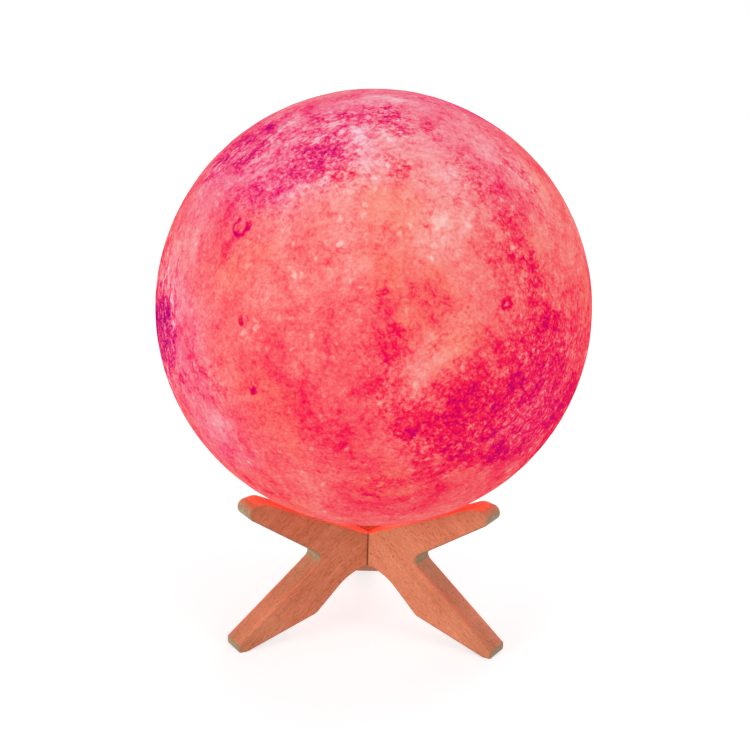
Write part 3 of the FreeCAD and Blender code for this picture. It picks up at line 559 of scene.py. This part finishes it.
COIL_R, COIL_HIGH, CAN_R, CAN_HIGH = 2.9, 2.8, 1.6, 3.2
COIL_PLACE = (7.6, 48)       # out from the axis, then degrees about it
CAN_PLACES = (8.4, 118, 160)
CHARGER_PLACE = (8.6, 245)
windings = [(2.75 - 0.22 * (turn % 2), 0.55 + 0.19 * turn, 0.05) for turn in range(9)]
coil = revolved([(0, 0, 0), (COIL_R, 0, 0.15), (COIL_R, 0.4, 0.1), *windings, (COIL_R, 2.35, 0.1),
                 (COIL_R, COIL_HIGH, 0.15), (1.3, COIL_HIGH, 0.1), (1.1, 2.4, 0.1), (0, 2.4, 0)], 48)
can = revolved([(0, 0, 0), (CAN_R, 0, 0.2), (CAN_R, 0.5, 0.1), (CAN_R - 0.15, 0.7, 0.1), (CAN_R, 0.9, 0.1),
                (CAN_R, CAN_HIGH, 0.25), (1.2, CAN_HIGH, 0.08), (1.1, 3.05, 0.08), (0, 3.05, 0)], 32)
charger = squared([(2.1, 0, 14), (2.1, 1.3, 14), (2.0, 1.4, 14)])
points, faces, kind = gathered(laid_out(coil, "points", around(*COIL_PLACE)),
                               laid_out(can, "points", around(*CAN_PLACES)),
                               laid_out(charger, "faces", around(*CHARGER_PLACE)))
WINDING = (shown(190, 104, 58), 0.7, 0.35)
CAN_SLEEVE = (shown(58, 62, 92), 0.3, 0.35)
as_piece("board_components", (points + (0, 0, board_top)) * MM, faces,
         sorted_finish("wound_and_canned_parts", WINDING, CAN_SLEEVE, EPOXY), "lamp", ["board_parts"],
         "black_plastic", kind=kind)


# ======================================================================================== core
# The core is a white tube with a lid, screwed onto the cap. A sleeved cell stands in its cup with a
# foam ring pressed between it and the lid. Two leads run down from it to the main board.

def wire_finish(name, over, under, *stops):
    """Soft lead insulation. The leads of a bundle are told apart by the ratio of two coordinates."""
    f = Finish(name, Specular_IOR_Level=0.4, Roughness=0.45)
    here = f.place()
    part = {axis: f.node("SeparateXYZ", {0: here}, number) for number, axis in enumerate("XYZ")}
    ramp = f.ramp(f.spread(f.math("DIVIDE", part[over], part[under]), -1, 1), *stops)
    ramp.node.color_ramp.interpolation = "CONSTANT"
    print_line = f.noise(f.turn(here, scale=(900, 900, 260)), 1.0, detail=2.0)
    return f.set(Base_Color=f.mix(f.spread(print_line, 0.45, 0.75, 0.0, 0.35), ramp, (0.05, 0.05, 0.05)),
                 Normal=f.bump(print_line, 0.01 * MM))


PRINT_EDGE = 90.6 * MM       # height from which the sleeve is printed white


def sleeve_finish():
    """Printed blue shrink sleeve, and bare nickel on the contact and in the crimped end."""
    f = Finish("cell_sleeve_and_nickel", Specular_IOR_Level=0.5)
    height = f.node("SeparateXYZ", {0: f.place()}, 2)
    bare = f.math("GREATER_THAN", f.attribute("bare"), 0.5)
    crinkle = f.noise(f.turn(f.place(), scale=(220, 220, 900)), 1.0, detail=3.0)
    band = f.spread(height, PRINT_EDGE - 0.1 * MM, PRINT_EDGE + 0.1 * MM)
    sleeve = f.mix(band, f.mix(crinkle, shown(22, 66, 140), shown(44, 96, 176)), shown(216, 220, 224))
    return f.set(Base_Color=f.mix(bare, sleeve, (0.70, 0.70, 0.68)), Metallic=bare,
                 Roughness=f.total(0.28, (crinkle, 0.2, 0.5)), Normal=f.bump(crinkle, 0.02 * MM))


def foam_finish():
    """Grey open-celled foam: small round pores of two sizes sunk between pale walls, the pores darkened with
    painted shade.
    """
    f = Finish("grey_cushion_foam", Roughness=0.95, Specular_IOR_Level=0.1)
    here = f.shaken(f.place(), 900.0, 0.0003)
    pores = f.spread(f.cells(here, 1500.0, "DISTANCE_TO_EDGE"), 0.04, 0.30, smooth=True)
    fine = f.spread(f.cells(here, 3600.0), 0.2, 0.6)
    # painted shade: the pores are coloured dark for the shade that falls inside them, and the foam itself is
    # one grey
    shade = f.total(0.85, (pores, -0.55, 0.0), (fine, -0.25, 0.0))
    return f.set(Base_Color=f.mix(shade, shown(34, 35, 38), shown(120, 121, 126)),
                 Normal=f.bump(f.total(0.8, (pores, -0.6, 0.0), (fine, 0.2, 0.0)), 0.12 * MM))


dress(white_moulding, "core_housing")
dress(moulded_finish("natural_holder_plastic", shown(226, 222, 208), 0.5), "battery_holder")
dress(wire_finish("battery_lead_plastic", "Y", "X", (0.0, shown(176, 20, 22)), (0.79, shown(28, 28, 30))),
      "battery_leads")

(_, _, cell_under), (cell_r, _, contact_top) = span("battery_cell")
CONTACT_R, CONTACT_HIGH = 3.2, 1.0
END_HOLLOW = 0.25            # how far the bottom is dished in
CRIMP_DEEP = 0.35            # groove pressed in all round near the top
SLEEVE_EDGE_R = 6.1          # how far in the sleeve is shrunk over the top
cell_top = contact_top - CONTACT_HIGH
cell_run = (
    (0, cell_under + END_HOLLOW, 0), (7.4, cell_under + END_HOLLOW, 0.1), (7.7, cell_under, 0.1),
    (cell_r, cell_under, 0.6), (cell_r, cell_top - 3.2, 0.3), (cell_r - CRIMP_DEEP, cell_top - 2.6, 0.5),
    (cell_r, cell_top - 2.0, 0.3), (cell_r, cell_top, 0.5), (6.3, cell_top, 0.15),
    (6.0, cell_top - 0.4, 0.15), (CONTACT_R + 0.3, cell_top - 0.4, 0.1), (CONTACT_R, contact_top, 0.3),
    (0, contact_top, 0))
cell = turned_piece("battery", cell_run, sleeve_finish(), "lamp", "battery_cell", "battery_wrap")
cell_points = np.empty(3 * len(cell.data.vertices), np.float32)
cell.data.vertices.foreach_get("co", cell_points)
add_attribute(cell.data, "bare", np.hypot(cell_points[0::3], cell_points[1::3]) < SLEEVE_EDGE_R * MM)

(_, _, pad_under), (pad_r, _, pad_top) = span("battery_pad")
PAD_HOLE_R = 3.5
pad_side = (                 # in from the ring's edge, height, radius: crowned above, slightly waisted
    (1.0, pad_top - 0.12, 3.0), (0.12, pad_top - 0.55, 0.7), (0.30, pad_under + 1.4, 2.0),
    (0, pad_under, 0.5))
pad_start = [((PAD_HOLE_R + pad_r) / 2, pad_top, 0)]
inner_side = [(PAD_HOLE_R + inwards, height, turn) for inwards, height, turn in pad_side]
outer_side = [(pad_r - inwards, height, turn) for inwards, height, turn in pad_side[::-1]]
pad = turned_piece("battery_cushion", pad_start + inner_side + outer_side + pad_start, foam_finish(), "lamp",
                   "battery_pad", "foam", 96)


# ======================================================================================== lights
# On the lid a white board carries seven light chips. It is held by two screws and fed by four leads
# from the main board. A milky dome snaps on over it and spreads the light.

white_laminate = laminate_finish("white_light_board", shown(232, 234, 236), shown(214, 217, 220),
                                 (0.84, 0.82, 0.76), 380.0)
dress(white_laminate, "led_board")
dress(screw_steel, "led_board_screws")
dress(wire_finish("light_lead_plastic", "X", "Y", (0.0, shown(190, 22, 24)), (0.38, shown(30, 128, 60)),
                  (0.50, shown(30, 66, 178)), (0.62, shown(206, 208, 210))), "led_leads")

light_top = span("led_board")[1][2]
LIGHT_RING = 8.6             # radius of the ring of six chips about the seventh
CASE = (shown(236, 234, 226), 0.0, 0.4)
PHOSPHOR = (shown(240, 206, 92), 0.0, 0.25)
chip_case = [(2.5, 0, 14), (2.5, 1.45, 14), (2.35, 1.6, 14), (2.0, 1.6, 2)]
chip_dish = [(1.8, 1.25, 2), (1.0, 1.32, 2), (0.3, 1.34, 2)]
chip_grid = squared(chip_case + chip_dish)
chip_places = [(0, 0, 0)] + around(LIGHT_RING, *range(0, 360, 60))
points, faces = laid_out(chip_grid, "faces", chip_places)
dished = np.repeat([False, True], [len(chip_case), len(chip_dish)])
as_piece("light_chips", (points + (0, 0, light_top)) * MM, faces,
         sorted_finish("chip_case_and_phosphor", CASE, PHOSPHOR), "lamp", ["led_chips"], "light_chip",
         kind=np.tile(np.repeat(dished, chip_grid.shape[1]), len(chip_places)))

(_, _, dome_under), (dome_r, _, dome_top) = span("diffuser_dome")
DOME_WALL = 1.2
dome_in, dome_ceiling = dome_r - DOME_WALL, dome_top - DOME_WALL
dome_run = (
    (0, dome_ceiling, 0), (dome_in, dome_ceiling, dome_in - 0.02), (dome_in, dome_under, 0.2),
    (dome_r, dome_under, 0.2), (dome_r, dome_top, dome_r - 0.02), (0, dome_top, 0))
milky_moulding = moulded_finish("milky_diffuser", shown(246, 240, 242), 0.4, 0.006, Subsurface_Weight=0.3,
                                Subsurface_Scale=0.002)
turned_piece("diffuser", dome_run, milky_moulding, "lamp", "diffuser_dome", "milky_plastic", 96)


# ======================================================================================== globe
# The globe is a thin hollow ball of translucent plastic, open at the bottom. It is cast with a
# fine cratered skin, stained in crimson, magenta and violet, and glows from the light inside it.

SHELL_WALL = 1.6 * MM
shell_low, shell_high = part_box("moon_shell")
GLOBE_R = (shell_high.x - shell_low.x) / 2
GLOBE_CENTRE = np.array([0.0, 0.0, shell_high.z - GLOBE_R])
OPENING_R = math.sqrt(GLOBE_R ** 2 - (GLOBE_CENTRE[2] - shell_low.z) ** 2)
GLOBE_COLUMNS, ROWS_OUTSIDE, ROWS_INSIDE = 400, 204, 26
CRATERS = 520
ROUGHENING = 0.30 * MM       # of the skin between and inside the craters
RELIEF_DEEPEST = 0.75 * MM
RIM_HALF_WIDE = 0.016        # half the width of a dark crater rim, in radii of the globe
STRAY = 0.28                 # how far noise pulls the edges of the stains about, in radii of the globe
GLOW = 0.80                  # strength of the light that the skin gives off
EYE_PITCH = math.radians(17.12)      # how far the front view looks down
EYE_ROLL = math.radians(1.467)
EYE_DISTANCE = 0.6230
STREAK_TURN, STREAK_RISE = 16.0, 43.0    # degrees, the way in which the violet streaks run
SKIN_LEVELS = (0.0, 0.15, 0.30, 0.42, 0.55, 0.68, 0.82, 0.94, 1.0)       # of darkness, for both colourings
WARM_SKIN = ((255, 204, 198), (254, 172, 166), (253, 136, 132), (252, 104, 108), (251, 68, 92),
             (249, 36, 80), (246, 16, 78), (236, 8, 84), (206, 8, 100))
COOL_SKIN = ((252, 210, 226), (251, 182, 200), (250, 148, 170), (248, 116, 148), (248, 78, 128),
             (244, 44, 112), (234, 18, 108), (206, 12, 120), (162, 14, 128))

# Where the stains lie as the front view meets them: right of and above the middle of the globe, size
# and strength, the first three in radii of the globe.
CRIMSON_MARKS = (
    (0.66, -0.42, 0.24, 0.6), (0.8, -0.12, 0.15, 0.65), (0.36, -0.64, 0.13, 0.85),
    (0.45, -0.46, 0.13, 0.6), (0.62, -0.64, 0.13, 0.6), (0.86, -0.42, 0.14, 0.6), (0.77, -0.24, 0.14, 0.6),
    (0.24, -0.58, 0.1, 0.75), (0.3, 0.8, 0.06, 0.45), (0.4, 0.61, 0.08, 0.45), (0.5, 0.5, 0.08, 0.42),
    (0.6, 0.36, 0.07, 0.48), (0.68, 0.22, 0.08, 0.75), (0.72, 0.08, 0.08, 0.7), (0.58, 0.0, 0.06, 0.45),
    (0.52, 0.22, 0.05, 0.25), (-0.2, 0.82, 0.12, 0.6), (-0.13, 0.58, 0.11, 0.75), (-0.3, 0.68, 0.12, 0.45),
    (-0.53, 0.7, 0.1, 0.5), (-0.62, 0.6, 0.09, 0.45), (-0.52, 0.5, 0.12, 0.3), (-0.36, 0.58, 0.12, 0.35),
    (-0.22, 0.64, 0.09, 0.6), (0.06, 0.66, 0.07, 0.45), (0.09, 0.83, 0.08, 0.7), (0.0, 0.88, 0.09, 0.55),
    (-0.96, -0.02, 0.11, 0.85), (-0.94, -0.2, 0.09, 0.75), (-0.9, -0.34, 0.07, 0.6),
    (0.05, -0.1, 0.06, 0.3), (0.07, -0.28, 0.09, 0.42), (0.1, -0.46, 0.1, 0.5), (0.03, 0.05, 0.04, 0.35),
    (-0.61, -0.1, 0.03, 0.8), (-0.55, -0.42, 0.03, 0.8), (-0.1, -0.68, 0.03, 0.55),
    (-0.26, -0.12, 0.12, 0.2), (-0.2, -0.55, 0.1, 0.25), (-0.78, -0.3, 0.1, 0.3), (0.1, -0.78, 0.12, 0.25),
    (0.97, -0.28, 0.3, 0.4), (0.9, -0.46, 0.24, 0.3), (0.78, -0.62, 0.18, 0.35), (-0.7, 0.66, 0.11, 0.45),
    (-0.58, 0.78, 0.12, 0.45), (-1.0, 0.06, 0.3, 0.35), (-1.0, -0.16, 0.26, 0.35), (0.72, 0.52, 0.1, 0.35),
    (0.6, 0.66, 0.1, 0.3),
)
VIOLET_MARKS = (
    (-0.97, -0.02, 0.15, 0.95), (-0.93, -0.28, 0.12, 0.7), (-0.58, 0.68, 0.14, 0.75),
    (-0.24, 0.76, 0.18, 0.6), (0.08, 0.83, 0.12, 0.8), (-0.12, 0.64, 0.12, 0.45),
    (0.84, -0.28, 0.14, 0.15), (0.66, -0.66, 0.14, 0.12), (0.7, 0.1, 0.12, 0.25), (0.44, -0.62, 0.1, 0.2),
    (0.95, -0.2, 0.08, 0.3), (-1.0, 0.04, 0.3, 0.9), (-1.0, -0.18, 0.26, 0.8), (-0.7, 0.68, 0.12, 0.6),
    (-0.46, 0.82, 0.12, 0.6),
)
PALE_MARKS = (               # a strength below 0 darkens
    (-0.115, 0.765, 0.068, 0.75), (0.415, 0.4, 0.07, 0.8), (0.26, 0.39, 0.05, 0.6), (0.64, 0.6, 0.06, 0.6),
    (0.3, -0.25, 0.11, 0.6), (0.37, -0.12, 0.09, 0.6), (0.12, -0.04, 0.05, 0.6), (-0.38, -0.35, 0.05, 0.7),
    (-0.42, 0.82, 0.06, 0.85), (0.1, 0.94, 0.09, 0.8), (-0.74, -0.54, 0.08, 0.55), (-0.34, 0.5, 0.05, 0.4),
    (0.12, 0.52, 0.3, 0.55), (0.22, 0.36, 0.15, 0.4), (-0.4, 0.18, 0.28, 0.25), (0.58, -0.3, 0.04, 0.5),
    (-0.85, 0.3, 0.12, 0.3), (-0.24, -0.8, 0.1, 0.25), (0.76, 0.52, 0.08, 0.45), (0.22, -0.4, 0.07, 0.4),
    (-0.62, 0.16, 0.08, 0.35), (-0.05, 0.93, 0.06, 0.4), (-0.1, -0.62, 0.4, -0.3),
    (-0.45, -0.2, 0.3, -0.18), (0.45, -0.75, 0.3, -0.2), (0.42, 0.74, 0.28, 0.22), (0.8, 0.36, 0.22, 0.18),
    (-0.02, 0.155, 0.05, 0.5), (-0.42, 0.62, 0.22, 0.35), (0.1, -0.95, 0.28, -0.3),
    (0.58, -0.8, 0.22, -0.25),
)
COOL_MARKS = (
    (0.0, 0.95, 0.42, 0.65), (-0.64, 0.68, 0.36, 0.65), (-0.95, -0.1, 0.35, 0.8), (0.55, 0.62, 0.38, 0.45),
    (-0.45, 0.66, 0.35, 0.4), (0.75, -0.5, 0.45, 0.45), (-0.3, 0.7, 0.25, 0.55), (-0.7, -0.62, 0.25, 0.5),
)
CRATER_RINGS = (             # small dark rims, their size being the rim's radius
    (-0.61, 0.34, 0.038, 0.55), (0.37, -0.68, 0.045, 0.4), (0.15, -0.61, 0.028, 0.45),
    (0.66, -0.36, 0.03, 0.4), (0.77, -0.1, 0.034, 0.4), (0.04, 0.03, 0.016, 0.35),
    (-0.613, -0.09, 0.012, 0.6), (-0.55, -0.41, 0.013, 0.6), (0.61, -0.01, 0.02, 0.6),
    (0.52, -0.6, 0.036, 0.35),
)


def lattice_noise(points, cell, seed):
    """Smooth noise from 0 to 1: every corner of a cubic lattice of this cell gets a hashed random
    value, and a point takes the smoothstep-weighted mean of the eight corners around it."""
    scaled = points / cell
    corner = np.floor(scaled).astype(np.int64)
    part = scaled - corner
    weight = part * part * (3 - 2 * part)
    total = np.zeros(len(points))
    for step in np.ndindex(2, 2, 2):
        key = ((corner + step) * (73856093, 19349663, 83492791)).sum(axis=1) + seed * 374761393
        key = ((key ^ (key >> 13)) * 1274126177) & 0xFFFFFFFF
        value = ((key ^ (key >> 16)) & 0xFFFFFFFF) / 0xFFFFFFFF
        total += value * np.where(step, weight, 1 - weight).prod(axis=1)
    return total


def fractal_noise(points, cell, octaves, seed, keep=0.6):
    """Mean of lattice noises, each of half the cell and keep times the weight of the one before."""
    weights = keep ** np.arange(octaves)
    layers = [weight * lattice_noise(points, cell / 2 ** i, seed + i) for i, weight in enumerate(weights)]
    return sum(layers) / weights.sum()


def seen_from_front(right, up):
    """Directions of places to the right of and above the globe's middle in the front view, in radii of
    its outline. A ray at an angle a off the line from the eye to the centre, with tan a = place * tan o
    for the outline's own angle o, meets the globe where sin(b + a) = sin a / sin o, b being the angle
    at the centre."""
    right, up = (right * math.cos(EYE_ROLL) - up * math.sin(EYE_ROLL),
                 right * math.sin(EYE_ROLL) + up * math.cos(EYE_ROLL))
    off = np.hypot(right, up) + 1e-9
    outline = math.asin(GLOBE_R / EYE_DISTANCE)
    ray = np.arctan(np.minimum(off, 1) * math.tan(outline))
    reach = np.sin(np.arcsin(np.minimum(np.sin(ray) / math.sin(outline), 1)) - ray) / off
    right, up = right * reach, up * reach
    near = np.sqrt(1 - right ** 2 - up ** 2)
    forward = math.cos(EYE_PITCH) * near - math.sin(EYE_PITCH) * up
    rise = math.sin(EYE_PITCH) * near + math.cos(EYE_PITCH) * up
    return np.stack([right, -forward, rise], axis=1)


def spots(directions, front, count, size_range, strength_range, seed):
    """Sum of soft round spots, strength * exp(-(distance / size)^2): the front ones as listed, and a
    count of them strewn at random over the side that faces away."""
    random = np.random.default_rng(seed)
    front = np.array(front)
    far = random.normal(size=(count, 3))
    far[:, 1] = np.abs(far[:, 1]) + 0.25
    far /= np.linalg.norm(far, axis=1, keepdims=True)
    centres = np.concatenate([seen_from_front(front[:, 0], front[:, 1]), far])
    sizes = np.concatenate([front[:, 2], random.uniform(*size_range, count)])
    strengths = np.concatenate([front[:, 3], random.uniform(*strength_range, count)])
    total = np.zeros(len(directions))
    for centre, size, strength in zip(centres, sizes, strengths):
        total += strength * np.exp(-((directions - centre) ** 2).sum(axis=1) / size ** 2)
    return total


def crater_depth(directions, count, seed):
    """Depth of a field of craters, in metres. A crater of radius r sinks by 1 - (d / r)^2 inside it
    and stands up in a soft rim around d = r. Small ones are many and large ones few."""
    random = np.random.default_rng(seed)
    centres = random.normal(size=(count, 3))
    centres /= np.linalg.norm(centres, axis=1, keepdims=True)
    sizes = np.minimum(0.018 + 0.022 * random.pareto(2.6, count), 0.13)
    depth = np.zeros(len(directions))
    for centre, size in zip(centres, sizes):
        apart = np.linalg.norm(directions - centre, axis=1) / size
        near = apart < 2
        bowl = np.clip(1 - apart[near] ** 2, 0, None)
        rim = np.exp(-((apart[near] - 1.05) / 0.22) ** 2)
        depth[near] += 0.09 * GLOBE_R * size * (bowl - 0.45 * rim)
    return depth


def moon_finish():
    """Stained translucent skin. Its darkness runs from pale pink through salmon and coral to crimson
    and magenta. It is driven by the stains, by mottling at every size and by light-centred cells."""
    f = Finish("stained_moon_skin", Roughness=0.65, Specular_IOR_Level=0.0, Emission_Strength=GLOW)
    ball = f.turn(f.place(GLOBE_CENTRE), scale=(1 / GLOBE_R,) * 3)
    crimson, violet = f.attribute("crimson"), f.attribute("violet")
    pale, cool = f.attribute("pale"), f.attribute("cool")
    rough_ball = f.shaken(ball, 22.0, 0.060)
    mottle = f.noise(ball, 3.0, detail=10.0, roughness=0.84, distortion=0.25)
    grain = f.noise(ball, 64.0, detail=3.0, roughness=0.8)
    streak = f.turn(f.turn(f.turn(ball, (0, 0, -STREAK_TURN)), (0, STREAK_RISE, 0)), scale=(7, 34, 34))
    streak = f.noise(streak, 1.0, detail=5.0, roughness=0.75)
    small = f.cells(rough_ball, 50.0)
    large = f.cells(rough_ball, 21.0)
    chance = f.node("SeparateXYZ", {0: f.cells(rough_ball, 21.0, output="Color")}, 0)
    dots = f.math("MULTIPLY", f.spread(large, 0.38, 0.05, smooth=True), f.spread(chance, 0.55, 0.95))
    stain = f.total(crimson, (mottle, 1.7, 0.5), (large, 0.35, 0.45), (small, 0.20, 0.45))
    stain = f.spread(stain, 0.02, 0.95, smooth=True)
    coarse = f.total(0.26, (small, 0.34, 0.44), (large, 0.22, 0.44), (grain, 1.25, 0.5), (mottle, 0.8, 0.5))
    dark = f.total(0.395, (mottle, 1.15, 0.5), (small, 0.10, 0.42), (grain, 0.46, 0.5), (pale, -0.30, 0.0),
                   (dots, -0.26, 0.0))
    dark = f.math("MULTIPLY_ADD", stain, coarse, dark)
    dark = f.math("MULTIPLY_ADD", f.spread(violet, 0.0, 0.8), f.total(-0.04, (streak, 2.1, 0.5)), dark)
    dark = f.math("MULTIPLY_ADD", f.spread(violet, 1.0, 2.0, smooth=True), 0.30, dark)
    broken = f.spread(f.noise(ball, 19.0), 0.38, 0.56)
    for right, up, size, strength in CRATER_RINGS:
        middle = tuple(seen_from_front(np.array([right]), np.array([up]))[0])
        apart = f.node("VectorMath", {0: rough_ball, 1: middle}, "Value", operation="DISTANCE")
        off_rim = f.math("ABSOLUTE", f.math("SUBTRACT", apart, size))
        rim = f.spread(off_rim, RIM_HALF_WIDE, 0.0, 0.0, strength, smooth=True)
        dark = f.math("MULTIPLY_ADD", rim, broken, dark)
    warm_skin, cool_skin = (
        f.ramp(dark, *((level, shown(*colour)) for level, colour in zip(SKIN_LEVELS, colours)))
        for colours in (WARM_SKIN, COOL_SKIN))
    colour = f.mix(f.spread(cool, 0.1, 0.9, smooth=True), warm_skin, cool_skin)
    ember = f.math("MULTIPLY", f.spread(f.noise(ball, 2.6, detail=3.0), 0.50, 0.68, 0.0, 0.42, smooth=True),
                   f.spread(f.math("ADD", dark, cool), 0.70, 0.40))
    colour = f.mix(ember, colour, shown(253, 126, 92))
    tint = f.math("MULTIPLY", f.spread(violet, 0.1, 0.9), f.spread(dark, 0.62, 1.05))
    colour = f.mix(f.math("MULTIPLY", tint, 0.60), colour, shown(150, 16, 128))
    height = f.total(0.0, (grain, 0.6, 0.0), (small, 0.8, 0.0))
    return f.set(Base_Color=f.mix(1.0, colour, (0.21, 0.21, 0.21), blend="MULTIPLY"),
                 Emission_Color=colour, Normal=f.bump(height, 0.3 * MM))


inner_r = GLOBE_R - SHELL_WALL
row_angle = np.concatenate([np.linspace(0, math.pi - math.asin(OPENING_R / inner_r), ROWS_INSIDE),
                            np.linspace(math.pi - math.asin(OPENING_R / GLOBE_R), 0, ROWS_OUTSIDE)])
row_radius = np.repeat([inner_r, GLOBE_R], [ROWS_INSIDE, ROWS_OUTSIDE])
column_angle = np.linspace(0, 2 * np.pi, GLOBE_COLUMNS, endpoint=False)
globe_grid = np.stack([np.outer(np.sin(row_angle), np.cos(column_angle)),
                       np.outer(np.sin(row_angle), np.sin(column_angle)),
                       np.outer(np.cos(row_angle), np.ones(GLOBE_COLUMNS))], axis=-1)
ways = ring_points(globe_grid, "points")
radius = ring_points(row_radius[:, None, None] * np.ones_like(globe_grid), "points")[:, 0]
opening_height = -math.sqrt(1 - (OPENING_R / GLOBE_R) ** 2)
skin = (radius == GLOBE_R) * np.clip((ways[:, 2] - opening_height) / 0.02, 0, 1)
roughening = ROUGHENING * (fractal_noise(ways, 0.16, 5, seed=31, keep=0.7) - 0.2)
sink = np.clip(crater_depth(ways, CRATERS, seed=11) + roughening, 0.02 * MM, RELIEF_DEEPEST) * skin
wander = np.stack([fractal_noise(ways, 0.22, 4, seed=number) for number in (51, 61, 71)], axis=1) - 0.5
led_astray = ways + STRAY * wander
globe = as_piece(
    "moon_globe", GLOBE_CENTRE + ways * (radius - sink)[:, None],
    ring_faces(len(row_angle), GLOBE_COLUMNS, "points"), moon_finish(), "lamp", ["moon_shell"], "moon_skin",
    crimson=spots(led_astray, CRIMSON_MARKS, 90, (0.05, 0.20), (0.2, 0.75), seed=5),
    violet=spots(led_astray, VIOLET_MARKS, 20, (0.08, 0.18), (0.2, 0.6), seed=6),
    pale=spots(led_astray, PALE_MARKS, 34, (0.04, 0.20), (0.2, 0.6), seed=7),
    cool=spots(led_astray, COOL_MARKS, 9, (0.25, 0.42), (0.2, 0.6), seed=8))

# what the glowing underside throws onto the wood right below it
GLOW_REACH = 46 * MM         # radius of the patch of skin that lies close over the cradle
GLOW_HEIGHT = 66 * MM
GLOW_POWER = 0.055
GLOW_SPREAD = math.radians(28)
glow = bpy.data.objects.new("glow_on_the_cradle", bpy.data.lights.new("glow_on_the_cradle", "AREA"))
glow.data.shape = "DISK"
glow.data.size = 2 * GLOW_REACH
glow.data.energy = GLOW_POWER
glow.data.color = (1.0, 0.02, 0.02)
glow.data.spread = GLOW_SPREAD
glow.location = (0, 0, GLOW_HEIGHT)
glow.visible_camera = glow.visible_glossy = glow.visible_transmission = False
glow.parent = globe
bpy.context.scene.collection.objects.link(glow)
lit_boards = bpy.data.collections.new("lit_boards")
for board in boards:
    lit_boards.objects.link(board)
glow.light_linking.receiver_collection = lit_boards
glow.light_linking.blocker_collection = lit_boards


# ======================================================================================== stage
# A plain pale floor, a soft white room, four large soft lamps and the eye of the front view. From
# below the floor is clear, so that the underside of the lamp shows.

FLOOR_HALF = 4.0
FLOOR_DROP = 0.00005         # keeps the floor's surface apart from the feet's
floor_corners = [(FLOOR_HALF * x, FLOOR_HALF * y, -FLOOR_DROP)
                 for x, y in ((-1, -1), (1, -1), (1, 1), (-1, 1))]
floor_mesh = bpy.data.meshes.new("floor")
floor_mesh.from_pydata(floor_corners, [], [(0, 1, 2, 3)])
floor = bpy.data.objects.new("floor", floor_mesh)
bpy.context.scene.collection.objects.link(floor)


def seen_share(tree):
    """1 for rays that reach the eye directly, by a reflection or through glass, and 0 for others."""
    path = tree.nodes.new("ShaderNodeLightPath")
    share = path.outputs["Is Camera Ray"]
    for name in ("Is Glossy Ray", "Is Transmission Ray"):
        either = tree.nodes.new("ShaderNodeMath")
        either.operation = "MAXIMUM"
        tree.links.new(share, either.inputs[0])
        tree.links.new(path.outputs[name], either.inputs[1])
        share = either.outputs[0]
    return share


FLOOR_LIFT, FAR_FLOOR_LIFT = 0.655, 0.76     # bring the unshaded floor just to white, near and far
floor_finish = Finish("pale_floor", Roughness=0.9, Specular_IOR_Level=0.1, Base_Color=(0.62, 0.62, 0.62),
                      Emission_Color=(1, 1, 1))
away = floor_finish.node("VectorMath", {0: floor_finish.place()}, "Value", operation="LENGTH")
lift = floor_finish.spread(away, 0.5, 1.6, FLOOR_LIFT, FAR_FLOOR_LIFT)
from_below = floor_finish.node("NewGeometry", {}, "Backfacing")
floor_finish.set(Emission_Strength=floor_finish.math("MULTIPLY", seen_share(floor_finish.tree), lift),
                 Alpha=floor_finish.math("SUBTRACT", 1.0, from_below))
floor_mesh.materials.append(floor_finish.material)

ROOM_LEVEL = 0.36            # what the white room gives the object
room = bpy.data.worlds.new("white_room")
bpy.context.scene.world = room
room.use_nodes = True
sky = room.node_tree.nodes["Background"]
sky.inputs["Color"].default_value = (1, 1, 1, 1)
sky_level = room.node_tree.nodes.new("ShaderNodeMapRange")
sky_level.inputs["To Min"].default_value = ROOM_LEVEL
sky_level.inputs["To Max"].default_value = 1.0
room.node_tree.links.new(seen_share(room.node_tree), sky_level.inputs["Value"])
room.node_tree.links.new(sky_level.outputs[0], sky.inputs["Strength"])

for name, place, size, power in (("key_lamp", (-0.95, -0.85, 0.23), 0.6, 9.4),
                                 ("fill_lamp", (0.95, -0.70, 0.55), 0.9, 4.5),
                                 ("top_lamp", (0.05, 0.35, 1.30), 1.0, 1.4),
                                 ("back_lamp", (0.35, 1.20, 0.16), 1.0, 7.5)):
    light = bpy.data.lights.new(name, "AREA")
    light.energy = power
    light.size = size
    item = bpy.data.objects.new(name, light)
    item.location = place
    item.rotation_mode = "QUATERNION"
    item.rotation_quaternion = (Vector(GLOBE_CENTRE) - Vector(place)).to_track_quat("-Z", "Y")
    bpy.context.scene.collection.objects.link(item)

EYE_PLACE = (0.0, -0.60177, 0.27858)
EYE_YAW = math.radians(0.095)
EYE_LENS, EYE_FILM = 86.53, 36.0     # focal length and width of the picture, in millimetres
eye = bpy.data.objects.new("eye", bpy.data.cameras.new("eye"))
eye.data.lens = EYE_LENS
eye.data.sensor_width = EYE_FILM
eye.matrix_world = (Matrix.Translation(EYE_PLACE) @ Matrix.Rotation(-EYE_YAW, 4, "Z")
                    @ Matrix.Rotation(math.pi / 2 - EYE_PITCH, 4, "X") @ Matrix.Rotation(EYE_ROLL, 4, "Z"))
bpy.context.scene.collection.objects.link(eye)
bpy.context.scene.camera = eye
bpy.context.scene.view_settings.view_transform = "Standard"
